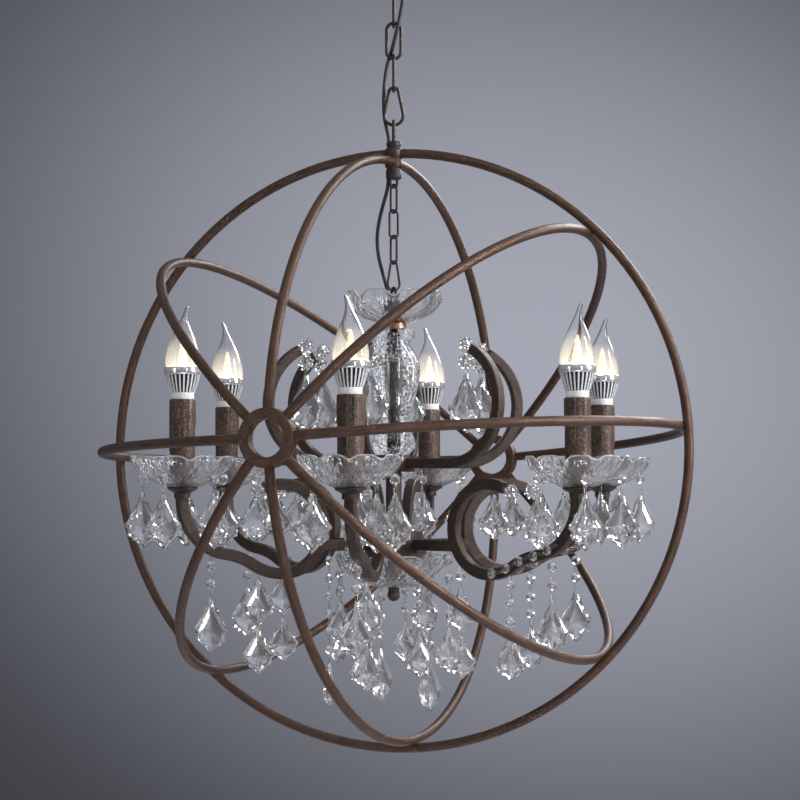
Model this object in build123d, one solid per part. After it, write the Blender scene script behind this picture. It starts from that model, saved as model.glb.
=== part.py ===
from build123d import *
from math import atan, atan2, cos, degrees, pi, radians, sin, tan
import os

# A crystal chandelier inside an iron orb, hung on a chain from a ceiling canopy.
# Millimetres, +Z up, the front is towards -Y. The origin is on the ceiling, above the chain.
# Directions round the chain are in degrees from the front, positive towards +X.

# Fits
PLAY = 0.3
BORE_PLAY = 0.1

# Ceiling fitting
BRACKET_LENGTH = 104.0
BRACKET_WIDTH = 25.0
BRACKET_THICK = 3.0
CEILING_HOLE_SPACING = 76.0
CEILING_HOLE_D = 5.2
CANOPY_D = 120.0
CANOPY_FLAT_D = 90.0
CANOPY_HEIGHT = 40.0
CANOPY_RIM = 5.0
CANOPY_WALL = 1.5
SCREW_D = 4.0
SCREW_SPACING = 62.0
SCREW_HEAD_D = 9.0
SCREW_HEAD_HEIGHT = 5.0
STEM_D = 10.0
STEM_NUT_FLATS = 17.0
STEM_NUT_HEIGHT = 6.0
STEM_COLLAR_D = 16.0
STEM_COLLAR_HEIGHT = 6.0
LOOP_WIRE = 4.0
LOOP_BEND = 8.0
LOOP_LEG = 6.0
TERMINAL_SIZE = (13.0, 22.0, 12.0)
TERMINAL_GAP = 3.0
BUSH_AT = (12.0, -10.0)
BUSH_FLANGE_D = 9.0
BUSH_FLANGE_HEIGHT = 2.5
BUSH_NECK_D = 7.0
BUSH_LENGTH = 9.0

# Upper chain
LINK_WIRE = 3.5
LINK_LENGTH = 42.5
LINK_WIDTH = 19.0
LINKS = 3
PEAR_WIRE = 3.5
PEAR_LENGTH = 44.2
PEAR_TOP_WIDTH = 14.0
PEAR_BOTTOM_WIDTH = 24.0

# Orb
ORB_D = 650.0
TUBE_D = 10.0
WELD_SINK = 1.5
OUTER_RING_YAW = -17.0
BOSS_YAW = -22.7
BOSS_RISE = 1.3
BOSS_D = 58.0
BOSS_HOLE_D = 37.0
BOSS_THICK = 12.0
BOSS_EDGE = 0.8
HOOP_ANGLES = (0.0, 43.0, 85.5, 134.5, 176.0, 219.0, 268.5, 312.0)
RING_NAMES = ("vertical_ring", "right_ring", "equator_ring", "left_ring")
HUB_TOP_D = 16.0
HUB_TOP_HEIGHT = 7.0
HUB_COLLAR_D = 19.0
HUB_COLLAR_HEIGHT = 22.0
HUB_COLLAR_ABOVE_RING = 6.0
HUB_FOOT_D = 17.0
HUB_FOOT_HEIGHT = 12.0
EYE_WIRE = 4.0
EYE_BEND = 4.5
EYE_LEG = 17.9
LOWER_EYE_WIRE = 3.0
LOWER_EYE_BEND = 4.5
LOWER_EYE_LEG = 4.0

# Inner chain
INNER_WIRE = 2.5
INNER_LENGTH = 33.0
INNER_WIDTH = 13.5
INNER_LINKS = 3
INNER_PEAR_LENGTH = 34.5
INNER_PEAR_TOP_WIDTH = 11.0
INNER_PEAR_BOTTOM_WIDTH = 18.0
INNER_CHAIN_YAW = 35.0

# Column
ROD_D = 9.8
COLUMN_EYE_WIRE = 3.0
COLUMN_EYE_BEND = 4.0
COLUMN_EYE_LEG = 10.5
COLUMN_BASE_D = 19.0
COLUMN_BASE_HEIGHT = 21.0
ROD_GRIP = 11.0
GLASS_WALL = 3.0
CROWN_OUTLINE = ((12.0, 0.0), (34.0, 7.0), (45.0, 14.0), (53.0, 34.0))
CROWN_LOBES = 8
WASHER_D = 27.0
WASHER_HEIGHT = 6.0
GLASS_HEIGHT = 136.0
GLASS_FLANGE_D = 45.0
GLASS_FLANGE_HEIGHT = 11.0
GLASS_BORE_D = 16.0
GLASS_OUTLINE = ((18.0, 0.86), (28.5, 0.71), (26.0, 0.53), (17.0, 0.27), (24.0, 0.09), (16.0, 0.0))
GLASS_CAVITY = ((14.0, 0.84), (23.0, 0.71), (20.5, 0.53), (12.0, 0.27), (17.0, 0.10))
SHEATH_OUTLINE = ((6.4, 0.97), (7.4, 0.86), (9.4, 0.71), (8.2, 0.5), (6.2, 0.3), (7.0, 0.1), (6.4, 0.02))
COLLAR_D = 46.0
COLLAR_HEIGHT = 18.0
SPINDLE_D = 17.0
SPINDLE_HEIGHT = 64.0
HUB_D = 62.0
HUB_HEIGHT = 28.0
HUB_BOSS_D = 24.0
HUB_BOSS_HEIGHT = 28.5
DISH_OUTLINE = ((20.0, 0.0), (44.0, 11.0), (63.0, 34.0))
DISH_LOBES = 12
FINIAL_NECK_D = 12.0
FINIAL_NECK_HEIGHT = 5.0
FINIAL_GRIP = 8.0
FINIAL_BALL_D = 13.6
FINIAL_SINK = 3.0

# Arms and scrolls
ARM_ANGLES = (-10.0, 50.0, 107.0, 170.0, 232.0, 296.0)
SCROLL_ANGLES = (-14.0, 50.0, 107.0, 170.0, 232.0, 291.0)
CANDLE_RADIUS = 242.0
BAR_DEPTH = 12.0
BAR_WIDTH = 11.0
BAR_EDGE = 2.0
ARM_LOOP_BEND = 47.0
ARM_LOOP_RADIUS = 130.0
ARM_LOOP_RISE = 18.0
ARM_LOOP_END = 65.0
ARM_RUN_BEND = 60.0
ARM_RUN_SLOPE = 33.0
ARM_CREST_BEND = 75.0
ARM_CREST_SLOPE = 8.0
STEM_RISE = 2.0
SCROLL_BEND = 63.5
SCROLL_RADIUS = 78.0
SCROLL_END = 62.0

# Candles
PAN_D = 31.0
PAN_STEM_D = 17.0
PAN_HEIGHT = 11.0
NIPPLE_D = 10.0
NIPPLE_HEIGHT = 20.0
BOBECHE_OUTLINE = ((15.0, 0.0), (40.0, 12.0), (54.0, 32.0))
BOBECHE_LOBES = 10
SLEEVE_D = 27.5
SLEEVE_WALL = 1.5
SLEEVE_HEIGHT = 88.0
SOCKET_D = 22.0
SOCKET_HEIGHT = 81.0
SOCKET_BORE_D = 14.6
SOCKET_BORE_DEPTH = 26.0

# Lamps
LAMP_CAP_D = 14.0
LAMP_CAP_HEIGHT = 25.0
LAMP_COLLAR_D = 23.4
LAMP_COLLAR_HEIGHT = 13.3
LAMP_SINK_D = 36.0
LAMP_SINK_HEIGHT = 19.5
LAMP_RIM_D = 38.0
LAMP_RIM_HEIGHT = 7.0
FLAME_WALL = 1.2
FLAME = (
    (17.2, 0.0, 0.0), (18.3, 8.5, 0.0), (14.8, 24.0, 0.0), (8.2, 40.0, 0.4), (4.2, 50.0, 1.6),
    (2.8, 58.0, 3.4), (1.8, 64.0, 5.6),
)
FLAME_LEANS = (200.0, 30.0, 20.0, 190.0, 175.0, 10.0)
GUIDE_D = 13.0
GUIDE_TOP_D = 3.0
GUIDE_HEIGHT = 30.0

# Crystals
BEAD_D = 12.0
BEAD_THICK = 7.0
BEAD_TABLE = 0.55
PIN_D = 1.4
PIN_REACH = 3.5
DROP_WIDTH = 37.0
DROP_LENGTH = 58.0
DROP_THICK = 9.0
DROP_TABLE = 0.5
DROP_CENTRE = 0.6
DROP_OUTLINE = (
    (0.05, 0.0), (0.17, 0.22), (0.33, 0.42), (0.5, 0.6), (0.4, 0.71), (0.42, 0.8), (0.2, 0.88), (0.0, 1.0),
)
RIM_DROP_ANGLES = (-115.0, -45.0, 45.0, 115.0, 180.0)
RIM_DROP_RADIUS = 45.0
SCROLL_DROP_SIZE = (40.0, 64.0, 11.0)
ROSETTE_D = 18.0
ROSETTE_THICK = 12.0
LOOP_DROP_RADIUS = 136.0
ARM_DROP_RADIUS = 157.0
SMALL_DROP_SIZE = (35.0, 48.0, 9.0)
GARLAND_BEADS = 5
STEM_STRAND_RADIUS = 210.0
ROOT_STRAND_RADIUS = 76.0
DISH_STRAND_RADIUS = 57.0
DISH_STRAND_ANGLES = (42.0, 150.0, 215.0, 268.0)
STONE_TURN = 20.0
STONE_TURN_STEP = 138.0

# Hung strands as (beads, drops, small drops), for each arm and for each place round the bottom dish
STEM_STRANDS = ((2, 1, 0), (2, 1, 0), (2, 1, 0), (2, 1, 0), (2, 1, 0), (2, 1, 0))
ARM_STRANDS = ((0, 1, 1), (3, 0, 1), (3, 0, 1), (3, 0, 1), (0, 0, 2), (0, 0, 2))
ROOT_STRANDS = ((5, 1, 0), (4, 0, 1), (2, 0, 2), (4, 0, 1), (4, 0, 1), (6, 0, 1))
DISH_STRANDS = ((5, 1, 0), (4, 0, 1), (4, 0, 1), (2, 0, 1))

# Turns of those strands away from the front
ROOT_TURNS = (48.0, 20.0, 10.0, -35.0, 50.0, 70.0)
DISH_TURNS = (45.0, 20.0, 65.0, -30.0)

# Power cords, points as (x, y, height from the hub's top or foot)
CORD_D = 4.0
CORD_HOLE_PLAY = 0.2
CORD_HOLE_DEPTH = 9.5
UPPER_CORD = (
    (*BUSH_AT, 192.0), (*BUSH_AT, 172.0), (10.0, -9.0, 154.0), (7.0, -7.0, 136.0),
    (2.5, -5.5, 117.0), (-2.5, 5.5, 99.0), (-7.5, 6.5, 84.0), (-10.0, 7.0, 66.0), (-11.0, 6.5, 46.0),
    (-10.5, 6.0, 29.0), (-7.6, 4.4, 15.0), (-5.0, 1.5, 4.0), (-5.0, 1.5, -8.0),
)
LOWER_CORD = (
    (-5.6, 0.9, 8.0), (-5.6, 0.9, -6.0), (-10.0, 2.2, -22.0), (-15.0, 3.4, -40.0), (-18.0, 4.0, -62.0),
    (-16.5, 3.6, -84.0), (-11.0, 2.4, -104.0), (-6.2, 0.2, -122.0), (-6.2, 0.2, -140.0),
)


# Heights, from the ceiling down
def hang(upper_wire, lower_wire):
    """How far the top of a hung loop's wire axis lies above the wire it hangs on."""
    return (upper_wire + lower_wire) / 2 + PLAY


CANOPY_FOOT = -CANOPY_HEIGHT
LOOP_FOOT = CANOPY_FOOT - STEM_COLLAR_HEIGHT - LOOP_LEG - LOOP_BEND
LINK_TOPS = []
wire_above = (LOOP_FOOT, LOOP_WIRE)
for _ in range(LINKS):
    LINK_TOPS.append(wire_above[0] + hang(wire_above[1], LINK_WIRE))
    wire_above = (LINK_TOPS[-1] - (LINK_LENGTH - LINK_WIRE), LINK_WIRE)
PEAR_TOP = wire_above[0] + hang(LINK_WIRE, PEAR_WIRE)
PEAR_FOOT = PEAR_TOP - (PEAR_LENGTH - PEAR_WIRE)
EYE_TOP = PEAR_FOOT + hang(PEAR_WIRE, EYE_WIRE)
ORB_HUB_TOP = EYE_TOP - EYE_BEND - EYE_LEG
RING_RADIUS = (ORB_D - TUBE_D) / 2
HOOP_RADIUS = RING_RADIUS - TUBE_D + WELD_SINK
ORB_Z = ORB_HUB_TOP - HUB_TOP_HEIGHT - HUB_COLLAR_ABOVE_RING - RING_RADIUS
ORB_HUB_FOOT = ORB_HUB_TOP - HUB_TOP_HEIGHT - HUB_COLLAR_HEIGHT - HUB_FOOT_HEIGHT
LOWER_EYE_FOOT = ORB_HUB_FOOT - LOWER_EYE_LEG - LOWER_EYE_BEND
INNER_TOPS = []
wire_above = (LOWER_EYE_FOOT, LOWER_EYE_WIRE)
for _ in range(INNER_LINKS):
    INNER_TOPS.append(wire_above[0] + hang(wire_above[1], INNER_WIRE))
    wire_above = (INNER_TOPS[-1] - (INNER_LENGTH - INNER_WIRE), INNER_WIRE)
INNER_PEAR_TOP = wire_above[0] + hang(INNER_WIRE, INNER_WIRE)
INNER_PEAR_FOOT = INNER_PEAR_TOP - (INNER_PEAR_LENGTH - INNER_WIRE)
COLUMN_EYE_TOP = INNER_PEAR_FOOT + hang(INNER_WIRE, COLUMN_EYE_WIRE)
BASE_TOP = COLUMN_EYE_TOP - COLUMN_EYE_BEND - COLUMN_EYE_LEG
CROWN_Z = BASE_TOP - COLUMN_BASE_HEIGHT - GLASS_WALL
GLASS_TOP = CROWN_Z - WASHER_HEIGHT
GLASS_FOOT = GLASS_TOP - GLASS_HEIGHT
COLLAR_FOOT = GLASS_FOOT - COLLAR_HEIGHT
ARM_HUB_TOP = COLLAR_FOOT - SPINDLE_HEIGHT
ARM_HUB_FOOT = ARM_HUB_TOP - HUB_HEIGHT
DISH_Z = ARM_HUB_FOOT - HUB_BOSS_HEIGHT - GLASS_WALL
ARM_Z = ARM_HUB_TOP - HUB_HEIGHT / 2
SCROLL_Z = GLASS_FOOT - COLLAR_HEIGHT / 2 + SCROLL_BEND


# Shared shapes
def save(name, *solids):
    """Write one node, a single piece or a group of separate ones."""
    shape = solids[0] if len(solids) == 1 else Compound(children=list(solids))
    export_step(shape, f"parts/{name}.step")


def upright(shape):
    """Stand a drawing of radius against height on its edge, along +X."""
    return Plane.XZ * shape


def turned(*outline):
    """A turned piece, from its half section of (radius, height) points."""
    return revolve(upright(make_face(Polyline(*outline, close=True))), Axis.Z)


def drum(diameter, foot, top, at=(0, 0)):
    """A round bar from foot to top."""
    return Pos(at[0], at[1], (foot + top) / 2) * Cylinder(diameter / 2, top - foot)


def round_section(path, diameter):
    """A round section, square to the start of its path."""
    return Plane(origin=path @ 0, z_dir=path % 0) * Circle(diameter / 2)


def loop_link(top, length, top_width, bottom_width, wire):
    """A closed loop of wire in the XZ plane, its wire axis topped out at the given height."""
    r_top = (top_width - wire) / 2
    r_foot = (bottom_width - wire) / 2
    z_top = top - r_top
    z_foot = top - (length - wire) + r_foot
    lean = atan((r_foot - r_top) / (z_top - z_foot))
    upper = CenterArc((0, z_top), r_top, 180 - lean * 180 / pi, lean * 360 / pi - 180)
    lower = CenterArc((0, z_foot), r_foot, lean * 180 / pi, -180 - lean * 360 / pi)
    path = Wire([upper, Line(upper @ 1, lower @ 0), lower, Line(lower @ 1, upper @ 0)])
    path = upright(path)
    return sweep(round_section(path, wire), path=path)


def wire_eye(bend_foot, bend, leg, wire, upward):
    """A bent eye of wire in the XZ plane: two legs from a flat seat, joined by a half circle."""
    way = 1 if upward else -1
    seat = bend_foot - way * (bend + leg)
    turn_z = seat + way * leg
    side = Line((-bend, seat), (-bend, turn_z))
    bow = CenterArc((0, turn_z), bend, 180, -way * 180)
    back = Line((bend, turn_z), (bend, seat))
    path = upright(Wire([side, bow, back]))
    return sweep(round_section(path, wire), path=path)


def edge_on(shape):
    """Turn a loop from facing the front to facing the side."""
    return Rot(Z=90) * shape


def in_inner_chain(shape):
    """Turn a loop of the inner chain to the way that the whole chain hangs."""
    return Rot(Z=INNER_CHAIN_YAW) * shape


def cord(points, z):
    """A cord along straight runs joined by the largest arcs that they allow."""
    points = [Vector(x, y, h + z) for x, y, h in points]
    radii = []
    for before, here, after in zip(points, points[1:], points[2:]):
        turn = radians((here - before).get_angle(after - here))
        radii.append(0.45 * min((here - before).length, (after - here).length) / tan(turn / 2))
    path = FilletPolyline(*points, radius=radii)
    tube = sweep(round_section(path, CORD_D), path=path)
    print("cord", round(path.length, 1), "long, volume over section times length",
          round(tube.volume / (pi * CORD_D**2 / 4 * path.length), 4),
          "radii", [round(r, 1) for r in radii])
    return tube


def glass_dish(outline, z, lobes, bore):
    """A scalloped glass dish on a bored floor."""
    last = len(outline) - 1
    inside = [(r - GLASS_WALL * k / last, h + GLASS_WALL * (1 - k / last))
              for k, (r, h) in enumerate(outline)]
    rim_r, rim_h = outline[-1]
    dish = turned((bore / 2, 0), *outline, *reversed(inside), (bore / 2, GLASS_WALL))
    notch_r = pi * rim_r / lobes
    notch = Pos(rim_r, 0, rim_h + notch_r * 0.72) * Rot(Y=90) * Cylinder(notch_r * 0.86, 4 * GLASS_WALL)
    dish -= [Rot(Z=360 * k / lobes) * notch for k in range(lobes)]
    return Pos(0, 0, z) * dish


def round_the_column(angle):
    """Turn a piece that was drawn along +X to a direction round the chain."""
    return Rot(Z=angle - 90)


def on_arms(*pieces):
    """Copies of pieces drawn along +X, one set for each arm."""
    return [round_the_column(a) * piece for a in ARM_ANGLES for piece in pieces]


# Ceiling fitting
def ceiling_bracket():
    plate = Pos(0, 0, -BRACKET_THICK / 2) * Box(BRACKET_LENGTH, BRACKET_WIDTH, BRACKET_THICK)
    plate -= drum(STEM_D + 2 * BORE_PLAY, -BRACKET_THICK, 0)
    for side in (-1, 1):
        plate -= drum(CEILING_HOLE_D, -BRACKET_THICK, 0, (side * CEILING_HOLE_SPACING / 2, 0))
        plate -= drum(SCREW_D + 2 * BORE_PLAY, -BRACKET_THICK, 0, (side * SCREW_SPACING / 2, 0))
    return plate


def canopy_cup(wall):
    """The canopy's outer form, or the hollow inside it, a wall thickness in."""
    rim = CANOPY_D / 2 - wall
    flat = CANOPY_FLAT_D / 2 - wall
    foot = CANOPY_FOOT + wall
    side = Line((rim, 0), (rim, -CANOPY_RIM))
    bowl = TangentArc((rim, -CANOPY_RIM), (flat, foot), tangent=(0, -1))
    outline = [Line((0, 0), (rim, 0)), side, bowl, Line((flat, foot), (0, foot)), Line((0, foot), (0, 0))]
    return revolve(upright(make_face(outline)), Axis.Z)


def ceiling_canopy():
    cup = canopy_cup(0) - canopy_cup(CANOPY_WALL)
    cup -= drum(STEM_D + 2 * BORE_PLAY, CANOPY_FOOT, 0)
    cup -= drum(BUSH_NECK_D + 2 * BORE_PLAY, CANOPY_FOOT, 0, BUSH_AT)
    for side in (-1, 1):
        cup -= drum(SCREW_D + 2 * BORE_PLAY, CANOPY_FOOT, 0, (side * SCREW_SPACING / 2, 0))
    return cup


def canopy_screws():
    shank = drum(SCREW_D, CANOPY_FOOT, 0)
    head = turned((0, CANOPY_FOOT), (SCREW_HEAD_D / 2, CANOPY_FOOT),
                  (SCREW_HEAD_D / 2, CANOPY_FOOT - SCREW_HEAD_HEIGHT / 2),
                  (SCREW_HEAD_D / 4, CANOPY_FOOT - SCREW_HEAD_HEIGHT), (0, CANOPY_FOOT - SCREW_HEAD_HEIGHT))
    return [Pos(side * SCREW_SPACING / 2, 0, 0) * (shank + head) for side in (-1, 1)]


def canopy_loop():
    eye = wire_eye(LOOP_FOOT, LOOP_BEND, LOOP_LEG, LOOP_WIRE, upward=False)
    collar_d = max(STEM_COLLAR_D, 2 * LOOP_BEND + LOOP_WIRE)
    collar = drum(collar_d, CANOPY_FOOT - STEM_COLLAR_HEIGHT, CANOPY_FOOT)
    return eye + collar + drum(STEM_D, CANOPY_FOOT, 0)


def canopy_nut():
    top = -BRACKET_THICK
    nut = Pos(0, 0, top - STEM_NUT_HEIGHT) * extrude(
        RegularPolygon(STEM_NUT_FLATS / 2, 6, major_radius=False), STEM_NUT_HEIGHT)
    return nut - drum(STEM_D + 2 * BORE_PLAY, top - STEM_NUT_HEIGHT, top)


def terminal_block():
    length, width, height = TERMINAL_SIZE
    x = STEM_NUT_FLATS / 2 + TERMINAL_GAP + length / 2
    block = Pos(x, 0, -BRACKET_THICK - height / 2) * Box(length, width, height)
    wire_way = Pos(x, 0, -BRACKET_THICK - height / 2) * Cylinder(height / 7, length, rotation=(0, 90, 0))
    return block - [Pos(0, side * width / 4, 0) * wire_way for side in (-1, 1)]


def cord_bush():
    neck = drum(BUSH_NECK_D, CANOPY_FOOT, CANOPY_FOOT + BUSH_LENGTH - BUSH_FLANGE_HEIGHT)
    flange = drum(BUSH_FLANGE_D, CANOPY_FOOT - BUSH_FLANGE_HEIGHT, CANOPY_FOOT)
    way = drum(CORD_D + 2 * CORD_HOLE_PLAY, CANOPY_FOOT - BUSH_LENGTH, CANOPY_FOOT + BUSH_LENGTH)
    return Pos(*BUSH_AT, 0) * (neck + flange - way)


# Orb
def boss_frame():
    """The boss axis towards the front, and the two directions square to it."""
    turn = Rot(Z=BOSS_YAW) * Rot(X=-BOSS_RISE)
    axes = [(turn * Pos(*v)).position for v in ((0, -1, 0), (1, 0, 0), (0, 0, 1))]
    return axes


def boss_place(side):
    """The plane of the front or rear boss, facing outwards."""
    axis, right, _ = boss_frame()
    seat = HOOP_RADIUS * cos(BOSS_D / 2 / HOOP_RADIUS)
    return Plane(origin=Vector(0, 0, ORB_Z) + axis * seat * side, x_dir=right, z_dir=axis * side)


def ring_bosses():
    blank = extrude(Circle(BOSS_D / 2) - Circle(BOSS_HOLE_D / 2), BOSS_THICK / 2, both=True)
    blank = chamfer(blank.edges().filter_by(GeomType.CIRCLE), BOSS_EDGE)
    return [boss_place(side) * blank for side in (1, -1)]


def orb_hub():
    collar_top = ORB_HUB_TOP - HUB_TOP_HEIGHT
    collar_foot = collar_top - HUB_COLLAR_HEIGHT
    hub = drum(HUB_TOP_D, collar_top, ORB_HUB_TOP)
    hub += drum(HUB_COLLAR_D, collar_foot, collar_top) + drum(HUB_FOOT_D, ORB_HUB_FOOT, collar_foot)
    hole_d = CORD_D + 2 * CORD_HOLE_PLAY
    hub -= drum(hole_d, ORB_HUB_TOP - CORD_HOLE_DEPTH, ORB_HUB_TOP, UPPER_CORD[-1][:2])
    return hub - drum(hole_d, ORB_HUB_FOOT, ORB_HUB_FOOT + CORD_HOLE_DEPTH, LOWER_CORD[0][:2])


def hub_room():
    """The space that the hub's collar takes out of the rings."""
    return drum(HUB_COLLAR_D, ORB_HUB_FOOT, ORB_HUB_TOP)


def outer_ring_lie(side):
    """The upright plane of the outer ring seen from one side, its first direction straight down."""
    normal = Vector(sin(radians(OUTER_RING_YAW)), -cos(radians(OUTER_RING_YAW)), 0)
    return Plane(origin=(0, 0, ORB_Z), x_dir=(0, 0, -1), z_dir=normal * side)


def outer_ring():
    """The outer ring's two halves, from the foot of the orb up each side to the hub."""
    half = Torus(RING_RADIUS, TUBE_D / 2, major_angle=180, align=None)
    return [outer_ring_lie(side) * half - hub_room() for side in (1, -1)]


def half_hoop(angle):
    """Half a hoop from boss to boss, notched where it is welded to the outer ring and the hub."""
    axis, right, up = boss_frame()
    out = right * sin(radians(angle)) + up * cos(radians(angle))
    lie = Plane(origin=(0, 0, ORB_Z), x_dir=axis, z_dir=axis.cross(out))
    hoop = lie * Torus(HOOP_RADIUS, TUBE_D / 2, major_angle=180, align=None)
    room = Cylinder(BOSS_D / 2, 4 * BOSS_THICK)
    hoop -= [boss_place(side) * room for side in (1, -1)]
    return hoop - outer_ring_lie(1) * Torus(RING_RADIUS, TUBE_D / 2) - hub_room()


# Column
def column_loop():
    eye = wire_eye(COLUMN_EYE_TOP, COLUMN_EYE_BEND, COLUMN_EYE_LEG, COLUMN_EYE_WIRE, upward=True)
    foot = BASE_TOP - COLUMN_BASE_HEIGHT
    base = drum(COLUMN_BASE_D, foot, BASE_TOP)
    base -= drum(ROD_D + 2 * BORE_PLAY, foot, foot + ROD_GRIP)
    hole = drum(CORD_D + 2 * CORD_HOLE_PLAY, BASE_TOP - CORD_HOLE_DEPTH, BASE_TOP, LOWER_CORD[-1][:2])
    return base - hole + in_inner_chain(edge_on(eye))


def column_rod():
    return drum(ROD_D, DISH_Z - FINIAL_GRIP + PLAY, CROWN_Z + GLASS_WALL + ROD_GRIP - PLAY)


def column_bore(foot, top):
    """The hole for the rod through a piece of the column."""
    return drum(ROD_D + 2 * BORE_PLAY, foot, top)


def column_glass():
    half_flange = GLASS_FLANGE_D / 2
    outer = [(r, GLASS_FOOT + share * GLASS_HEIGHT) for r, share in GLASS_OUTLINE]
    inner = [(r, GLASS_FOOT + share * GLASS_HEIGHT) for r, share in GLASS_CAVITY]
    flange_foot = GLASS_TOP - GLASS_FLANGE_HEIGHT
    bore = GLASS_BORE_D / 2
    belly = Spline((half_flange - GLASS_WALL, flange_foot), *outer)
    cavity = Spline((bore, GLASS_FOOT), *reversed(inner), (bore, flange_foot))
    outline = [
        Polyline((bore, GLASS_TOP), (half_flange, GLASS_TOP), (half_flange, flange_foot), belly @ 0),
        belly, Line(belly @ 1, cavity @ 0), cavity, Line(cavity @ 1, (bore, GLASS_TOP)),
    ]
    return revolve(upright(make_face(outline)), Axis.Z)


def rod_sheath():
    """The glass baluster that hides the rod inside the column glass."""
    bore = ROD_D / 2 + BORE_PLAY
    belly = Spline(*[(r, GLASS_FOOT + share * GLASS_HEIGHT) for r, share in SHEATH_OUTLINE])
    top = (bore, (belly @ 0).Y)
    foot = (bore, (belly @ 1).Y)
    outline = [Line(top, belly @ 0), belly, Line(belly @ 1, foot), Line(foot, top)]
    return revolve(upright(make_face(outline)), Axis.Z)


def mid_spindle():
    body = drum(COLLAR_D, COLLAR_FOOT, GLASS_FOOT) + drum(SPINDLE_D, ARM_HUB_TOP, COLLAR_FOOT)
    return body - column_bore(ARM_HUB_TOP, GLASS_FOOT)


def arm_hub():
    boss_foot = ARM_HUB_FOOT - HUB_BOSS_HEIGHT
    body = drum(HUB_D, ARM_HUB_FOOT, ARM_HUB_TOP) + drum(HUB_BOSS_D, boss_foot, ARM_HUB_FOOT)
    return body - column_bore(boss_foot, ARM_HUB_TOP)


def bottom_finial():
    neck_foot = DISH_Z - FINIAL_NECK_HEIGHT
    ball = Pos(0, 0, neck_foot - FINIAL_BALL_D / 2 + FINIAL_SINK) * Sphere(FINIAL_BALL_D / 2)
    return drum(FINIAL_NECK_D, neck_foot, DISH_Z) + ball - column_bore(DISH_Z - FINIAL_GRIP, DISH_Z)


# Arms
def bar(path, width, depth):
    """A forged bar with eased edges along a path in the XZ plane."""
    path = upright(path)
    start = Plane(origin=path @ 0, x_dir=(0, 1, 0), z_dir=path % 0)
    return sweep(start * RectangleRounded(width, depth, BAR_EDGE), path=path)


def arm_path():
    """The arm's line: its loop, the run outwards, the crest and the rise to the candle."""
    centre = (ARM_LOOP_RADIUS, ARM_Z + ARM_LOOP_RISE)
    loop = CenterArc(centre, ARM_LOOP_BEND, ARM_LOOP_END, 270 - ARM_LOOP_END)
    run = JernArc(loop @ 1, (1, 0), ARM_RUN_BEND, ARM_RUN_SLOPE)
    crest = JernArc(run @ 1, run % 1, ARM_CREST_BEND, ARM_CREST_SLOPE - ARM_RUN_SLOPE)
    rise_bend = (CANDLE_RADIUS - (crest @ 1).X) / (1 - sin(radians(ARM_CREST_SLOPE)))
    rise = JernArc(crest @ 1, crest % 1, rise_bend, 90 - ARM_CREST_SLOPE)
    stem = Line(rise @ 1, (CANDLE_RADIUS, (rise @ 1).Y + STEM_RISE))
    return [loop, run, crest, rise, stem]


PAN_FOOT = (arm_path()[-1] @ 1).Y
PAN_TOP = PAN_FOOT + PAN_HEIGHT
SLEEVE_FOOT = PAN_TOP + GLASS_WALL
SOCKET_TOP = SLEEVE_FOOT + SOCKET_HEIGHT


def at_candle(shape):
    """Move a piece that was drawn on the axis out to the candle circle."""
    return Pos(CANDLE_RADIUS, 0, 0) * shape


def arm():
    body = bar(Wire(arm_path()), BAR_WIDTH, BAR_DEPTH)
    root = Line((HUB_D / 2 - BAR_DEPTH / 2, ARM_Z), (ARM_LOOP_RADIUS - ARM_LOOP_BEND + BAR_DEPTH / 4, ARM_Z))
    tail = bar(Wire([root]), BAR_WIDTH, BAR_DEPTH) - drum(HUB_D, ARM_HUB_FOOT, ARM_HUB_TOP)
    pan = turned((0, PAN_FOOT), (PAN_STEM_D / 2, PAN_FOOT), (PAN_STEM_D / 2, PAN_FOOT + PAN_HEIGHT / 2),
                 (PAN_D / 2, PAN_TOP - PAN_HEIGHT / 8), (PAN_D / 2, PAN_TOP), (0, PAN_TOP))
    nipple = drum(NIPPLE_D, PAN_TOP, PAN_TOP + NIPPLE_HEIGHT)
    return body + tail + at_candle(pan + nipple)


def scroll():
    centre = (SCROLL_RADIUS, SCROLL_Z)
    bow = CenterArc(centre, SCROLL_BEND, SCROLL_END, -SCROLL_END - 90)
    run = Line(bow @ 1, (COLLAR_D / 2 - BAR_WIDTH / 2, SCROLL_Z - SCROLL_BEND))
    return bar(Wire([bow, run]), BAR_WIDTH, BAR_WIDTH) - drum(COLLAR_D, COLLAR_FOOT, GLASS_FOOT)


# Candles
def bobeche():
    return at_candle(glass_dish(BOBECHE_OUTLINE, PAN_TOP, BOBECHE_LOBES, NIPPLE_D + 2 * BORE_PLAY))


def candle_sleeve():
    top = SLEEVE_FOOT + SLEEVE_HEIGHT
    return at_candle(drum(SLEEVE_D, SLEEVE_FOOT, top) - drum(SLEEVE_D - 2 * SLEEVE_WALL, SLEEVE_FOOT, top))


def lamp_socket():
    body = drum(SOCKET_D, SLEEVE_FOOT, SOCKET_TOP)
    body -= drum(SOCKET_BORE_D, SOCKET_TOP - SOCKET_BORE_DEPTH, SOCKET_TOP)
    return at_candle(body - drum(NIPPLE_D + 2 * BORE_PLAY, SLEEVE_FOOT, PAN_TOP + NIPPLE_HEIGHT + PLAY))


def flame(thin):
    """The flame-shaped bulb, or the space inside it, thinner by the wall."""
    rings = FLAME if thin == 0 else FLAME[:-2]
    return loft([Pos(lean, 0, h) * Circle(r - thin) for r, h, lean in rings])


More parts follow.
